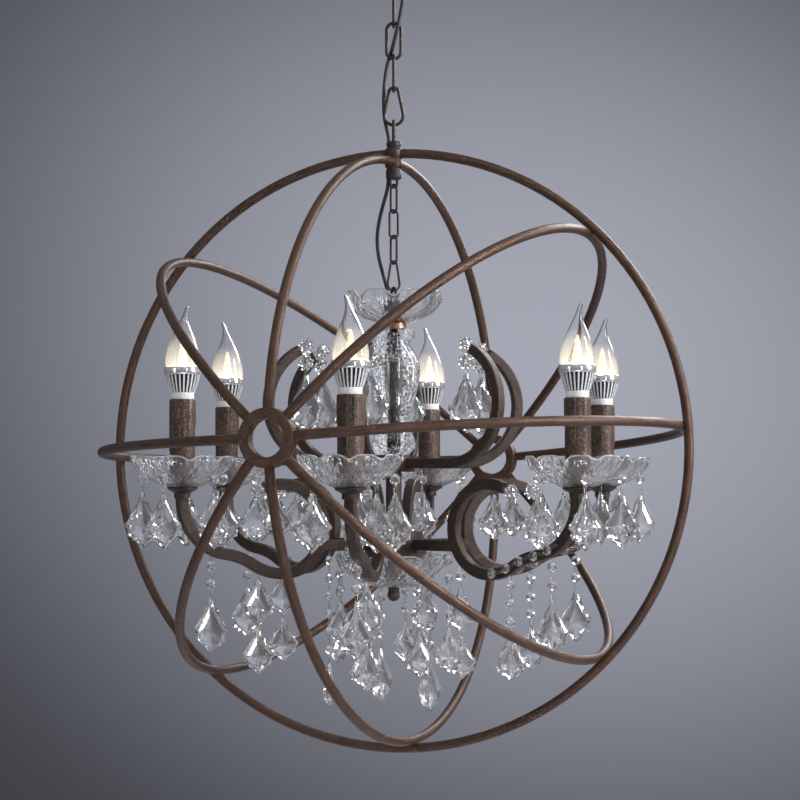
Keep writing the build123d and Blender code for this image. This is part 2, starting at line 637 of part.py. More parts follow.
def lamp(lean):
    """One lamp's body, bulb and light guide, turned so that its tip leans in a direction."""
    collar_foot = SOCKET_TOP + PLAY
    sink_foot = collar_foot + LAMP_COLLAR_HEIGHT
    rim_foot = sink_foot + LAMP_SINK_HEIGHT
    glass_foot = rim_foot + LAMP_RIM_HEIGHT
    body = turned(
        (0, collar_foot - LAMP_CAP_HEIGHT), (LAMP_CAP_D / 2, collar_foot - LAMP_CAP_HEIGHT),
        (LAMP_CAP_D / 2, collar_foot), (LAMP_COLLAR_D / 2, collar_foot), (LAMP_COLLAR_D / 2, sink_foot),
        (LAMP_SINK_D / 2, rim_foot), (LAMP_RIM_D / 2, rim_foot), (LAMP_RIM_D / 2, glass_foot),
        (0, glass_foot))
    bulb = Pos(0, 0, glass_foot) * (flame(0) - flame(FLAME_WALL))
    guide = turned((0, glass_foot), (GUIDE_D / 2, glass_foot),
                   (GUIDE_TOP_D / 2, glass_foot + GUIDE_HEIGHT), (0, glass_foot + GUIDE_HEIGHT))
    return [at_candle(Rot(Z=lean) * piece) for piece in (body, bulb, guide)]


# Crystals
def flat_cut(outline, thick, table, centre):
    """A stone cut on both faces, from its outline across and down in the XZ plane."""
    rim = Polyline(*outline, close=True)
    table_line = Polyline(*[(x * table, centre + (z - centre) * table) for x, z in outline], close=True)
    faces = [(table_line, -thick / 2), (rim, 0), (table_line, thick / 2)]
    return loft([Pos(0, y, 0) * upright(make_face(line)) for line, y in faces], ruled=True)


def bead(diameter, thick, reach):
    """An octagon bead round the origin, with its pins reaching out at top and foot."""
    corners = [(diameter / 2 * sin(radians(a)), diameter / 2 * cos(radians(a)))
               for a in (22.5 + 45 * k for k in range(8))]
    stone = flat_cut(corners, thick, BEAD_TABLE, 0)
    if reach:
        stone += drum(PIN_D, diameter / 4, diameter / 2 + reach)
        stone += drum(PIN_D, -diameter / 2 - reach, -diameter / 4)
    return stone


def pendalogue(width, length, thick):
    """A leaf-shaped drop with a scalloped foot, on its pin."""
    half = [(x * width, -PIN_REACH - h * length) for x, h in DROP_OUTLINE]
    outline = half + [(-x, z) for x, z in reversed(half) if x > 0]
    stone = flat_cut(outline, thick, DROP_TABLE, -PIN_REACH - DROP_CENTRE * length)
    return stone + drum(PIN_D, -PIN_REACH - length / 8, 0)


BEAD = bead(BEAD_D, BEAD_THICK, PIN_REACH)
GARLAND_BEAD = bead(BEAD_D, BEAD_THICK, PIN_REACH - PLAY)
BEAD_PITCH = BEAD_D + 2 * PIN_REACH
DROP = pendalogue(DROP_WIDTH, DROP_LENGTH, DROP_THICK)
SCROLL_DROP = pendalogue(*SCROLL_DROP_SIZE)
SMALL_DROP = pendalogue(*SMALL_DROP_SIZE)
ROSETTE = bead(ROSETTE_D, ROSETTE_THICK, 0)
HUNG_ROSETTE = Pos(0, 0, -ROSETTE.bounding_box().max.Z) * ROSETTE


def strand(beads, *drops):
    """Beads hung one under another, with drops at the end."""
    pieces = [Pos(0, 0, -(k + 0.5) * BEAD_PITCH) * BEAD for k in range(beads)]
    foot = -beads * BEAD_PITCH
    for drop in drops:
        pieces.append(Pos(0, 0, foot) * drop)
        foot = pieces[-1].bounding_box().min.Z
    return pieces


def dish_underside(outline, radius):
    """Height of a dish's outside at a radius, from its floor."""
    for (r0, h0), (r1, h1) in zip(outline, outline[1:]):
        if r0 <= radius <= r1:
            return h0 + (h1 - h0) * (radius - r0) / (r1 - r0)
    return outline[-1][1]


def arm_underside(radius):
    """Height of the arm's lower face at a radius beyond its loop, clear of a pin hung there."""
    def face(piece, share):
        point = piece @ share
        way = piece % share
        return point.X + way.Y * BAR_DEPTH / 2, point.Y - way.X * BAR_DEPTH / 2

    pin_side = radius - PIN_D / 2
    piece = next(p for p in arm_path()[1:4] if face(p, 1)[0] >= pin_side)
    low, high = 0.0, 1.0
    for _ in range(40):
        middle = (low + high) / 2
        if face(piece, middle)[0] < pin_side:
            low = middle
        else:
            high = middle
    return face(piece, low)[1]


def small_turn(number):
    """A stone's own small turn, from its number."""
    return STONE_TURN * sin(radians(STONE_TURN_STEP * number))


def facing_front(direction, turn):
    """Turn a stone to face the front once it is set in a direction, but for a turn of its own."""
    return Rot(Z=90 - direction + turn)


def strand_of(counts):
    """One of the listed strands of beads, drops and small drops."""
    beads, drops, small_drops = counts
    return strand(beads, *[DROP] * drops, *[SMALL_DROP] * small_drops)


def rim_drops(number):
    """Drops hung round the rim of one candle's glass dish."""
    direction = ARM_ANGLES[number]
    under = PAN_TOP + dish_underside(BOBECHE_OUTLINE, RIM_DROP_RADIUS - PIN_D / 2) - PLAY
    pieces = []
    for k, angle in enumerate(RIM_DROP_ANGLES):
        hook = at_candle(Rot(Z=angle) * Pos(RIM_DROP_RADIUS, 0, under))
        hook *= facing_front(direction + angle, small_turn(number * len(RIM_DROP_ANGLES) + k))
        pieces += [round_the_column(direction) * hook * piece for piece in strand(1, DROP)]
    return pieces


def bow_underside(centre_radius, centre_z, bend, depth, radius):
    """Height of the inner face of a bow of bar at a radius, clear of a pin hung there."""
    across = radius - centre_radius + PIN_D / 2
    return centre_z + ((bend - depth / 2) ** 2 - across**2) ** 0.5


def rosette_at(centre_radius, centre_z, bend, end, way):
    """A rosette on the free end of a bow of bar."""
    away = way * (ROSETTE_D / 2 + PLAY)
    x = centre_radius + bend * cos(radians(end)) - sin(radians(end)) * away
    z = centre_z + bend * sin(radians(end)) + cos(radians(end)) * away
    return Pos(x, 0, z) * Rot(Y=-end - 22.5) * ROSETTE


def scroll_crystals(number):
    """The rosette on the free end of one scroll, and the stones hung from it."""
    direction = SCROLL_ANGLES[number]
    rosette = rosette_at(SCROLL_RADIUS, SCROLL_Z, SCROLL_BEND, SCROLL_END, 1)
    hook = Pos(rosette.center().X, 0, rosette.bounding_box().min.Z - PLAY)
    hook *= facing_front(direction, small_turn(number))
    pieces = [rosette] + [hook * piece for piece in strand(0, HUNG_ROSETTE, SCROLL_DROP)]
    return [round_the_column(direction) * piece for piece in pieces]


def loop_crystals(number):
    """The rosette on the free end of one arm's loop, and the drop hung in the loop."""
    direction = ARM_ANGLES[number]
    bow = (ARM_LOOP_RADIUS, ARM_Z + ARM_LOOP_RISE, ARM_LOOP_BEND)
    hook = Pos(LOOP_DROP_RADIUS, 0, bow_underside(*bow, BAR_DEPTH, LOOP_DROP_RADIUS) - PLAY)
    hook *= facing_front(direction, small_turn(number))
    pieces = [rosette_at(*bow, ARM_LOOP_END, -1)] + [hook * piece for piece in strand(0, SMALL_DROP)]
    return [round_the_column(direction) * piece for piece in pieces]


def garland():
    """Beads strung along the side of an arm, from the foot of its loop outwards."""
    path = Wire(arm_path()[1:4])
    side = -(BAR_WIDTH + BEAD_THICK) / 2 - PLAY
    knots = [path @ (k * BEAD_PITCH / path.length) for k in range(GARLAND_BEADS + 1)]
    pieces = []
    for here, there in zip(knots, knots[1:]):
        middle = (here + there) / 2
        run = there - here
        pieces.append(Pos(middle.X, side, middle.Y) * Rot(Y=90 - degrees(atan2(run.Y, run.X))) * GARLAND_BEAD)
    return pieces


def under_arm(number, radius, underside, counts, turn):
    """A strand hung under one arm at a radius, turned away from the front."""
    direction = ARM_ANGLES[number]
    hook = round_the_column(direction) * Pos(radius, 0, underside - PLAY) * facing_front(direction, turn)
    return [hook * piece for piece in strand_of(counts)]


def arm_drop(number):
    """The strand that swings from the low side of an arm."""
    underside = arm_underside(ARM_DROP_RADIUS)
    return under_arm(number, ARM_DROP_RADIUS, underside, ARM_STRANDS[number], small_turn(number))


def fixed_strands():
    """Garlands along the arms, strands under each candle and arm root, and those of the bottom dish."""
    pieces = on_arms(*garland())
    stem_underside = arm_underside(STEM_STRAND_RADIUS)
    for number in range(len(ARM_ANGLES)):
        turn = small_turn(number)
        pieces += under_arm(number, STEM_STRAND_RADIUS, stem_underside, STEM_STRANDS[number], turn)
        turn = ROOT_TURNS[number]
        pieces += under_arm(number, ROOT_STRAND_RADIUS, ARM_Z - BAR_DEPTH / 2, ROOT_STRANDS[number], turn)
    dish_under = DISH_Z + dish_underside(DISH_OUTLINE, DISH_STRAND_RADIUS - PIN_D / 2) - PLAY
    for number, (direction, counts) in enumerate(zip(DISH_STRAND_ANGLES, DISH_STRANDS)):
        place = round_the_column(direction) * Pos(DISH_STRAND_RADIUS, 0, dish_under)
        hook = place * facing_front(direction, DISH_TURNS[number])
        pieces += [hook * piece for piece in strand_of(counts)]
    return pieces


os.makedirs("parts", exist_ok=True)

# Ceiling fitting
save("ceiling_bracket", ceiling_bracket())
save("ceiling_canopy", ceiling_canopy())
save("canopy_screws", *canopy_screws())
save("canopy_loop", canopy_loop())
save("canopy_nut", canopy_nut())
save("terminal_block", terminal_block())
save("cord_bush", cord_bush())
save("upper_cord", cord(UPPER_CORD, ORB_HUB_TOP))

# Upper chain
for number, link_top in enumerate(LINK_TOPS, 1):
    link = loop_link(link_top, LINK_LENGTH, LINK_WIDTH, LINK_WIDTH, LINK_WIRE)
    save(f"chain_link_{number}", edge_on(link) if number % 2 else link)
save("pear_link", loop_link(PEAR_TOP, PEAR_LENGTH, PEAR_TOP_WIDTH, PEAR_BOTTOM_WIDTH, PEAR_WIRE))

# Orb
save("hub_eye", edge_on(wire_eye(EYE_TOP, EYE_BEND, EYE_LEG, EYE_WIRE, upward=True)))
save("orb_hub", orb_hub())
lower_eye = wire_eye(LOWER_EYE_FOOT, LOWER_EYE_BEND, LOWER_EYE_LEG, LOWER_EYE_WIRE, upward=False)
save("lower_eye", in_inner_chain(lower_eye))
save("outer_ring", *outer_ring())
for number, ring_name in enumerate(RING_NAMES):
    halves = HOOP_ANGLES[number::len(RING_NAMES)]
    save(ring_name, *[half_hoop(angle) for angle in halves])
save("ring_bosses", *ring_bosses())
save("lower_cord", cord(LOWER_CORD, ORB_HUB_FOOT))

# Inner chain
for number, link_top in enumerate(INNER_TOPS, 1):
    link = loop_link(link_top, INNER_LENGTH, INNER_WIDTH, INNER_WIDTH, INNER_WIRE)
    save(f"inner_link_{number}", in_inner_chain(edge_on(link) if number % 2 else link))
inner_pear = loop_link(INNER_PEAR_TOP, INNER_PEAR_LENGTH, INNER_PEAR_TOP_WIDTH, INNER_PEAR_BOTTOM_WIDTH,
                       INNER_WIRE)
save("inner_pear_link", in_inner_chain(inner_pear))

# Column
save("column_loop", column_loop())
save("column_rod", column_rod())
save("crown_dish", glass_dish(CROWN_OUTLINE, CROWN_Z, CROWN_LOBES, ROD_D + 2 * BORE_PLAY))
save("crown_washer", drum(WASHER_D, GLASS_TOP, CROWN_Z) - column_bore(GLASS_TOP, CROWN_Z))
save("column_glass", column_glass(), rod_sheath())
save("mid_spindle", mid_spindle())
save("arm_hub", arm_hub())
save("bottom_dish", glass_dish(DISH_OUTLINE, DISH_Z, DISH_LOBES, ROD_D + 2 * BORE_PLAY))
save("bottom_finial", bottom_finial())

# Arms and candles
for number, one_arm in enumerate(on_arms(arm()), 1):
    save(f"arm_{number}", one_arm)
upper_scroll = scroll()
save("upper_scrolls", *[round_the_column(angle) * upper_scroll for angle in SCROLL_ANGLES])
save("bobeches", *on_arms(bobeche()))
save("candle_sleeves", *on_arms(candle_sleeve()))
save("lamp_sockets", *on_arms(lamp_socket()))
for number, (angle, lean) in enumerate(zip(ARM_ANGLES, FLAME_LEANS), 1):
    save(f"lamp_{number}", *[round_the_column(angle) * piece for piece in lamp(lean - angle + 90)])

# Crystals
arms = range(len(ARM_ANGLES))
save("bobeche_drops", *[piece for number in arms for piece in rim_drops(number)])
bow_crystals = [scroll_crystals(number) + loop_crystals(number) for number in arms]
save("scroll_crystals", *[piece for pieces in bow_crystals for piece in pieces])
save("crystal_strands", *fixed_strands())
for number in arms:
    save(f"arm_drop_{number + 1}", *arm_drop(number))
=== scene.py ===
from math import atan, cos, pi, radians, sin

import bmesh
import bpy
import numpy as np
from mathutils import Matrix, Vector

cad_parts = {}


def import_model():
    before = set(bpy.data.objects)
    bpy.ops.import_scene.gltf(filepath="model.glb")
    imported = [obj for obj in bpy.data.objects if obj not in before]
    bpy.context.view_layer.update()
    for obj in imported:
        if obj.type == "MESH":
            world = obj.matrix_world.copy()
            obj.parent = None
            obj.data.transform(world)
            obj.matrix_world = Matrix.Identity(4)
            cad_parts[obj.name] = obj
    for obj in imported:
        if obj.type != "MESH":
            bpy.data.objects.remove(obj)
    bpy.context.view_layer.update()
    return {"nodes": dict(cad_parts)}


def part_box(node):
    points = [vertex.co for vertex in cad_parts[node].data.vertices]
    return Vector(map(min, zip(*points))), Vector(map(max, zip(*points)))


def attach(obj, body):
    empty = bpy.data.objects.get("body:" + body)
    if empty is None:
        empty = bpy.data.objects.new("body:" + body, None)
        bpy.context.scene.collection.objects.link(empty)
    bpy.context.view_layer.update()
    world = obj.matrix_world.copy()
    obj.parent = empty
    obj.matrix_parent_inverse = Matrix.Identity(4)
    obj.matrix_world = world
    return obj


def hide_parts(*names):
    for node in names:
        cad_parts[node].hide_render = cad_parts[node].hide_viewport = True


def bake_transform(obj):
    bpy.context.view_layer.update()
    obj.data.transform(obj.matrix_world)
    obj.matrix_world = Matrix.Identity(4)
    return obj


# The looks of the orb chandelier, in metres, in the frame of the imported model.

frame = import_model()
nodes = frame["nodes"]
LAMPS = range(1, 7)
MM = 0.001

# Camera, found from the photograph: focal length and picture size in pixels
PHOTO_SIZE = 800.0
FOCAL_LENGTH = 2241.0
AXIS_COLUMN = 393.7
HORIZON_ROW = 479.6
CAMERA_DISTANCE = 2.415
CAMERA_BELOW_ORB = 0.0323
SENSOR_WIDTH = 36.0
VIEW_DEPTH = 100.0


def middle(node):
    """The middle of a node's box."""
    low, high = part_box(node)
    return (low + high) / 2


ORB = Vector((0, 0, middle("outer_ring").z))


def set_camera():
    data = bpy.data.cameras.new("camera")
    data.sensor_width = SENSOR_WIDTH
    data.lens = SENSOR_WIDTH * FOCAL_LENGTH / PHOTO_SIZE
    data.clip_end = VIEW_DEPTH
    camera = bpy.data.objects.new("camera", data)
    camera.location = (0, -CAMERA_DISTANCE, ORB.z - CAMERA_BELOW_ORB)
    tilt = atan((HORIZON_ROW - PHOTO_SIZE / 2) / FOCAL_LENGTH)
    turn = atan((PHOTO_SIZE / 2 - AXIS_COLUMN) / FOCAL_LENGTH)
    camera.rotation_euler = (pi / 2 + tilt, 0, -turn)
    bpy.context.scene.collection.objects.link(camera)
    bpy.context.scene.camera = camera


set_camera()


# Shader building
def group_tree(name, inputs, outputs, kind="ShaderNodeTree"):
    """An empty node group with named sockets, and its two end nodes."""
    tree = bpy.data.node_groups.new(name, kind)
    for way, sockets in (("INPUT", inputs), ("OUTPUT", outputs)):
        for label, socket_type in sockets:
            tree.interface.new_socket(label, in_out=way, socket_type=socket_type)
    return tree, tree.nodes.new("NodeGroupInput"), tree.nodes.new("NodeGroupOutput")


def noise(tree, where, scale, detail, rough):
    """A noise texture; its scale is a number or a socket."""
    node = tree.nodes.new("ShaderNodeTexNoise")
    node.inputs["Detail"].default_value = detail
    node.inputs["Roughness"].default_value = rough
    tree.links.new(where, node.inputs["Vector"])
    feed(tree, scale, node.inputs["Scale"])
    return node.outputs["Fac"]


def feed(tree, value, socket):
    """Link a socket, or set a plain value."""
    if isinstance(value, bpy.types.NodeSocket):
        tree.links.new(value, socket)
    else:
        socket.default_value = value


def math(tree, operation, a, b):
    node = tree.nodes.new("ShaderNodeMath")
    node.operation = operation
    feed(tree, a, node.inputs[0])
    feed(tree, b, node.inputs[1])
    return node.outputs[0]


def mix(tree, share, a, b):
    """Mix two colours by a share."""
    node = tree.nodes.new("ShaderNodeMix")
    node.data_type = "RGBA"
    feed(tree, share, node.inputs["Factor"])
    feed(tree, a, node.inputs[6])
    feed(tree, b, node.inputs[7])
    return node.outputs[2]


def spread(tree, value, low, high, to_low, to_high):
    """Stretch a value from one range to another, held at the ends."""
    node = tree.nodes.new("ShaderNodeMapRange")
    feed(tree, value, node.inputs["Value"])
    for label, number in zip(("From Min", "From Max", "To Min", "To Max"), (low, high, to_low, to_high)):
        feed(tree, number, node.inputs[label])
    return node.outputs["Result"]


# Rusty paint: the scale of its clouds, and the fineness and depth of its pits against its grain
CLOUD_SCALE = 55.0
PIT_FINENESS = 2.3
PIT_DEPTH = 0.6
SKIN_RELIEF = 0.5 * MM


def weathered_skin():
    """Brown paint gone rusty: soft clouds, bright rubbed grains and pits."""
    colours = [(label, "NodeSocketColor") for label in ("Dark", "Body", "Bright")]
    numbers = [(label, "NodeSocketFloat") for label in ("Grain", "Evenness", "Rubbed", "Dull", "Gloss")]
    tree, start, end = group_tree(
        "weathered_skin", colours + numbers,
        [("Color", "NodeSocketColor"), ("Roughness", "NodeSocketFloat"), ("Height", "NodeSocketFloat")])
    where = tree.nodes.new("ShaderNodeTexCoord").outputs["Object"]
    clouds = noise(tree, where, CLOUD_SCALE, 5.0, 0.6)
    grain = noise(tree, where, start.outputs["Grain"], 3.0, 0.65)
    pits = noise(tree, where, math(tree, "MULTIPLY", start.outputs["Grain"], PIT_FINENESS), 2.0, 0.6)
    share = spread(tree, clouds, 0.38, 0.66, start.outputs["Evenness"], 1.0)
    body = mix(tree, share, start.outputs["Dark"], start.outputs["Body"])
    rubbed = math(tree, "MULTIPLY", spread(tree, grain, 0.5, 0.7, 0.0, 1.0), start.outputs["Rubbed"])
    body = mix(tree, rubbed, body, start.outputs["Bright"])
    body = mix(tree, spread(tree, pits, 0.58, 0.72, 0.0, 0.5), body, start.outputs["Dark"])
    sunk = math(tree, "MULTIPLY", spread(tree, pits, 0.5, 0.75, 0.0, 1.0), PIT_DEPTH)
    height = math(tree, "SUBTRACT", grain, sunk)
    rough = spread(tree, grain, 0.35, 0.7, start.outputs["Dull"], start.outputs["Gloss"])
    tree.links.new(body, end.inputs["Color"])
    tree.links.new(rough, end.inputs["Roughness"])
    tree.links.new(height, end.inputs["Height"])
    return tree


def pebbles():
    """Small rounded cells and dimples, as in crackled glass and hammered card."""
    tree, start, end = group_tree("pebbles", [("Scale", "NodeSocketFloat")], [("Height", "NodeSocketFloat")])
    where = tree.nodes.new("ShaderNodeTexCoord").outputs["Object"]
    cells = tree.nodes.new("ShaderNodeTexVoronoi")
    cells.feature = "SMOOTH_F1"
    tree.links.new(where, cells.inputs["Vector"])
    tree.links.new(start.outputs["Scale"], cells.inputs["Scale"])
    loose = noise(tree, where, start.outputs["Scale"], 2.0, 0.5)
    tree.links.new(math(tree, "ADD", cells.outputs["Distance"], loose), end.inputs["Height"])
    return tree


SKIN = weathered_skin()
PEBBLES = pebbles()


def material(name):
    """A new material, its tree and its shader."""
    made = bpy.data.materials.new(name)
    made.use_nodes = True
    return made, made.node_tree, made.node_tree.nodes["Principled BSDF"]


def placed_group(tree, group, **values):
    """A shader group in a material, with its own values."""
    node = tree.nodes.new("ShaderNodeGroup")
    node.node_tree = group
    for label, value in values.items():
        node.inputs[label].default_value = value
    return node


def bump(tree, shader, height, strength, distance):
    node = tree.nodes.new("ShaderNodeBump")
    node.inputs["Strength"].default_value = strength
    node.inputs["Distance"].default_value = distance
    tree.links.new(height, node.inputs["Height"])
    tree.links.new(node.outputs["Normal"], shader.inputs["Normal"])


def iron(name, colours, metallic, relief, **skin_values):
    """Painted or plated iron; the colours are its dark, body and bright tones."""
    made, tree, shader = material(name)
    dark, body, bright = ((*c, 1) for c in colours)
    skin = placed_group(tree, SKIN, Dark=dark, Body=body, Bright=bright, **skin_values)
    tree.links.new(skin.outputs["Color"], shader.inputs["Base Color"])
    tree.links.new(skin.outputs["Roughness"], shader.inputs["Roughness"])
    shader.inputs["Metallic"].default_value = metallic
    bump(tree, shader, skin.outputs["Height"], relief, SKIN_RELIEF)
    return made


def glass(name, colour, ior, clearness, roughness, pebble_scale, relief, depth):
    """Glass with a wavy or pebbled face, milky where its clearness is under one."""
    made, tree, shader = material(name)
    shader.inputs["Base Color"].default_value = (*colour, 1)
    shader.inputs["Roughness"].default_value = roughness
    shader.inputs["IOR"].default_value = ior
    shader.inputs["Transmission Weight"].default_value = clearness
    height = placed_group(tree, PEBBLES, Scale=pebble_scale).outputs["Height"]
    bump(tree, shader, height, relief, depth)
    return made


def edge_share(tree, start, full):
    """How far a face turns away from the eye: none up to the start, all from the full turn on."""
    facing = tree.nodes.new("ShaderNodeLayerWeight")
    facing.inputs["Blend"].default_value = 0.5
    return spread(tree, facing.outputs["Facing"], start, full, 0.0, 1.0)


def crackle_glass():
    """Thin glass, clear where it is seen square on; to its sides the pebbles get a painted white glow on
    their tops and painted shade in their dips.
    """
    made, tree, shader = material("crackle_glass")
    shader.inputs["IOR"].default_value = 1.04
    shader.inputs["Roughness"].default_value = 0.02
    shader.inputs["Transmission Weight"].default_value = 1.0
    height = placed_group(tree, PEBBLES, Scale=360.0).outputs["Height"]
    side = edge_share(tree, 0.04, 0.16)
    # Painted shade: to the sides, the dips between the pebbles turn the glass a darker grey.
    painted_hollow_shade = math(tree, "MULTIPLY", side, spread(tree, height, 0.75, 1.05, 0.0, 1.0))
    tree.links.new(mix(tree, painted_hollow_shade, (1, 1, 1, 1), (0.74, 0.75, 0.77, 1)), shader.inputs["Base Color"])
    # Painted light: to the sides, the pebble tops glow white, standing in for light scattered in the glass.
    painted_white_glow = math(tree, "MULTIPLY", side, spread(tree, height, 0.7, 1.0, 1.0, 0.0))
    tree.links.new(mix(tree, painted_white_glow, (0, 0, 0, 1), (0.96, 0.97, 1, 1)), shader.inputs["Emission Color"])
    shader.inputs["Emission Strength"].default_value = 0.2
    shader.inputs["Coat Weight"].default_value = 0.3
    shader.inputs["Coat Roughness"].default_value = 0.12
    bump(tree, shader, height, 0.3, 0.2 * MM)
    return made


def baluster_glass():
    """Clear thick glass with painted dark edges: it turns near black, as painted shade, where its faces turn
    from the eye.
    """
    made = glass("baluster_glass", (0.95, 0.96, 0.96), 1.45, 1.0, 0.0, 60.0, 0.1, 0.1 * MM)
    tree = made.node_tree
    shader = tree.nodes["Principled BSDF"]
    # Painted shade: the base colour goes near black towards the edges.
    tone = mix(tree, edge_share(tree, 0.22, 0.6), (0.97, 0.98, 0.98, 1), (0.05, 0.05, 0.055, 1))
    tree.links.new(tone, shader.inputs["Base Color"])
    return made


METAL_DULLED = 0.75
PLASTIC_DULLED = 0.85
PLASTIC_UNEVENNESS = 0.15


def mottled(tree, shader, colour, dulled, smooth, rough, grain):
    """Tone a shader from a colour to a duller one, and from smooth to rough, by a fine noise."""
    where = tree.nodes.new("ShaderNodeTexCoord").outputs["Object"]
    grit = noise(tree, where, grain, 3.0, 0.6)
    duller = tuple(c * dulled for c in colour)
    tree.links.new(mix(tree, grit, (*colour, 1), (*duller, 1)), shader.inputs["Base Color"])
    tree.links.new(spread(tree, grit, 0.3, 0.7, smooth, rough), shader.inputs["Roughness"])
    return grit


def plain_metal(name, colour, smooth, rough, grain, metallic=1.0):
    """Bare or coated metal with a fine brushed unevenness."""
    made, tree, shader = material(name)
    mottled(tree, shader, colour, METAL_DULLED, smooth, rough, grain)
    shader.inputs["Metallic"].default_value = metallic
    return made


def plastic(name, colour, roughness, grain, depth):
    """Moulded plastic or rubber with a fine grain."""
    made, tree, shader = material(name)
    rough = roughness + PLASTIC_UNEVENNESS
    grit = mottled(tree, shader, colour, PLASTIC_DULLED, roughness, rough, grain)
    bump(tree, shader, grit, 0.3, depth)
    return made


RUST_IRON = iron("rust_iron", ((0.008, 0.0035, 0.002), (0.056, 0.024, 0.014), (0.5, 0.3, 0.2)), 0.5, 0.9,
                 Grain=620.0, Evenness=0.5, Rubbed=0.5, Dull=0.4, Gloss=0.18)
DARK_IRON = iron("dark_iron", ((0.008, 0.005, 0.004), (0.032, 0.019, 0.014), (0.34, 0.22, 0.16)), 0.45, 0.8,
                 Grain=620.0, Evenness=0.4, Rubbed=0.45, Dull=0.42, Gloss=0.22)
CHAIN_IRON = iron("chain_iron", ((0.01, 0.007, 0.006), (0.035, 0.024, 0.02), (0.2, 0.14, 0.11)), 0.5, 0.3,
                  Grain=900.0, Evenness=0.4, Rubbed=0.35, Dull=0.5, Gloss=0.25)
CANDLE_BROWN = iron("candle_brown", ((0.016, 0.008, 0.005), (0.065, 0.036, 0.025), (0.42, 0.29, 0.22)),
                    0.3, 1.0, Grain=440.0, Evenness=0.3, Rubbed=0.5, Dull=0.45, Gloss=0.22)
COPPER = iron("copper_plate", ((0.1, 0.04, 0.025), (0.42, 0.2, 0.13), (0.75, 0.45, 0.33)), 0.9, 0.35,
              Grain=700.0, Evenness=0.4, Rubbed=0.5, Dull=0.4, Gloss=0.2)
ZINC = plain_metal("zinc_plate", (0.62, 0.62, 0.63), 0.28, 0.5, 220.0)
PIN_METAL = plain_metal("pin_metal", (0.42, 0.41, 0.4), 0.15, 0.35, 900.0)
SINK_METAL = plain_metal("sink_metal", (0.94, 0.95, 0.97), 0.2, 0.36, 500.0, 0.35)
# The near-black core between the fins is painted shade that darkens the gaps between them.
SINK_PAINTED_SHADE = plain_metal("sink_painted_shade", (0.008, 0.008, 0.009), 0.5, 0.7, 400.0, 0.0)
BAND_METAL = plain_metal("band_metal", (0.93, 0.93, 0.95), 0.08, 0.18, 300.0, 0.8)
CAP_BRASS = plain_metal("cap_brass", (0.75, 0.58, 0.3), 0.2, 0.4, 400.0)
WHITE_PLASTIC = plastic("white_plastic", (0.82, 0.82, 0.84), 0.35, 600.0, 0.05 * MM)
CORD_BLACK = plastic("cord_black", (0.012, 0.012, 0.013), 0.42, 1500.0, 0.1 * MM)
DISH_GLASS = glass("dish_glass", (0.985, 0.99, 0.99), 1.42, 0.97, 0.0, 90.0, 0.3, 0.3 * MM)
RIM_GLASS = glass("rim_glass", (0.98, 0.99, 1.0), 1.45, 0.6, 0.08, 300.0, 0.3, 0.2 * MM)
CRACKLE_GLASS = crackle_glass()
BALUSTER_GLASS = baluster_glass()
CRYSTAL = glass("crystal", (0.99, 0.995, 1.0), 1.58, 0.95, 0.0, 60.0, 0.5, 0.05 * MM)


# Mesh building
MERGE_WITHIN = 0.005 * MM
THINNEST_FACE = 0.001 * MM


def mesh_of(name, points, faces, smooth):
    """A mesh with merged seams and outward faces."""
    mesh = bpy.data.meshes.new(name)
    mesh.from_pydata(points, [], faces)
    work = bmesh.new()
    work.from_mesh(mesh)
    bmesh.ops.remove_doubles(work, verts=work.verts, dist=MERGE_WITHIN)
    bmesh.ops.dissolve_degenerate(work, edges=work.edges, dist=THINNEST_FACE)
    bmesh.ops.recalc_face_normals(work, faces=work.faces)
    work.to_mesh(mesh)
    work.free()
    mesh.polygons.foreach_set("use_smooth", [smooth] * len(mesh.polygons))
    return mesh


def piece(name, mesh, finish, body, slot, *replaced):
    """Show a mesh on a body, in place of the nodes that it stands for."""
    made = bpy.data.objects.new(name, mesh)
    mesh.materials.clear()
    mesh.materials.append(finish)
    bpy.context.scene.collection.objects.link(made)
    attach(made, body)
    if replaced:
        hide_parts(*replaced)
    return made


def wrapped_faces(count, rings):
    """Faces between closed rings of points, the last ring joined to the first."""
    faces = []
    for j in range(rings):
        here = j * count
        there = (j + 1) % rings * count
        for k in range(count):
            after = (k + 1) % count
            faces.append((here + k, there + k, there + after, here + after))
    return faces


def lathe(name, outline, segments, shape=None, smooth=True):
    """A turned mesh round Z from a closed outline of (radius, height); shape may move each point."""
    points = []
    for j in range(segments):
        turn = 2 * pi * j / segments
        for k, (radius, height) in enumerate(outline):
            if shape:
                radius, height = shape(k, turn, radius, height)
            points.append((radius * cos(turn), radius * sin(turn), height))
    return mesh_of(name, points, wrapped_faces(len(outline), segments), smooth)


def smooth_line(corners, steps):
    """A soft line through corners, by a Catmull-Rom curve."""
    ends = [corners[0]] + list(corners) + [corners[-1]]
    line = []
    for a, b, c, d in zip(ends, ends[1:], ends[2:], ends[3:]):
        a, b, c, d = (Vector(p) for p in (a, b, c, d))
        for step in range(steps):
            t = step / steps
            line.append(tuple(0.5 * (2 * b + (c - a) * t + (2 * a - 5 * b + 4 * c - d) * t**2
                                     + (3 * b - a - 3 * c + d) * t**3)))
    line.append(tuple(corners[-1]))
    return line


# Geometry Nodes
def copies_of(tree, source, points):
    """A node that sets copies of a piece on points."""
    found = tree.nodes.new("GeometryNodeObjectInfo")
    copies = tree.nodes.new("GeometryNodeInstanceOnPoints")
    tree.links.new(source, found.inputs["Object"])
    tree.links.new(found.outputs["Geometry"], copies.inputs["Instance"])
    tree.links.new(points, copies.inputs["Points"])
    return copies


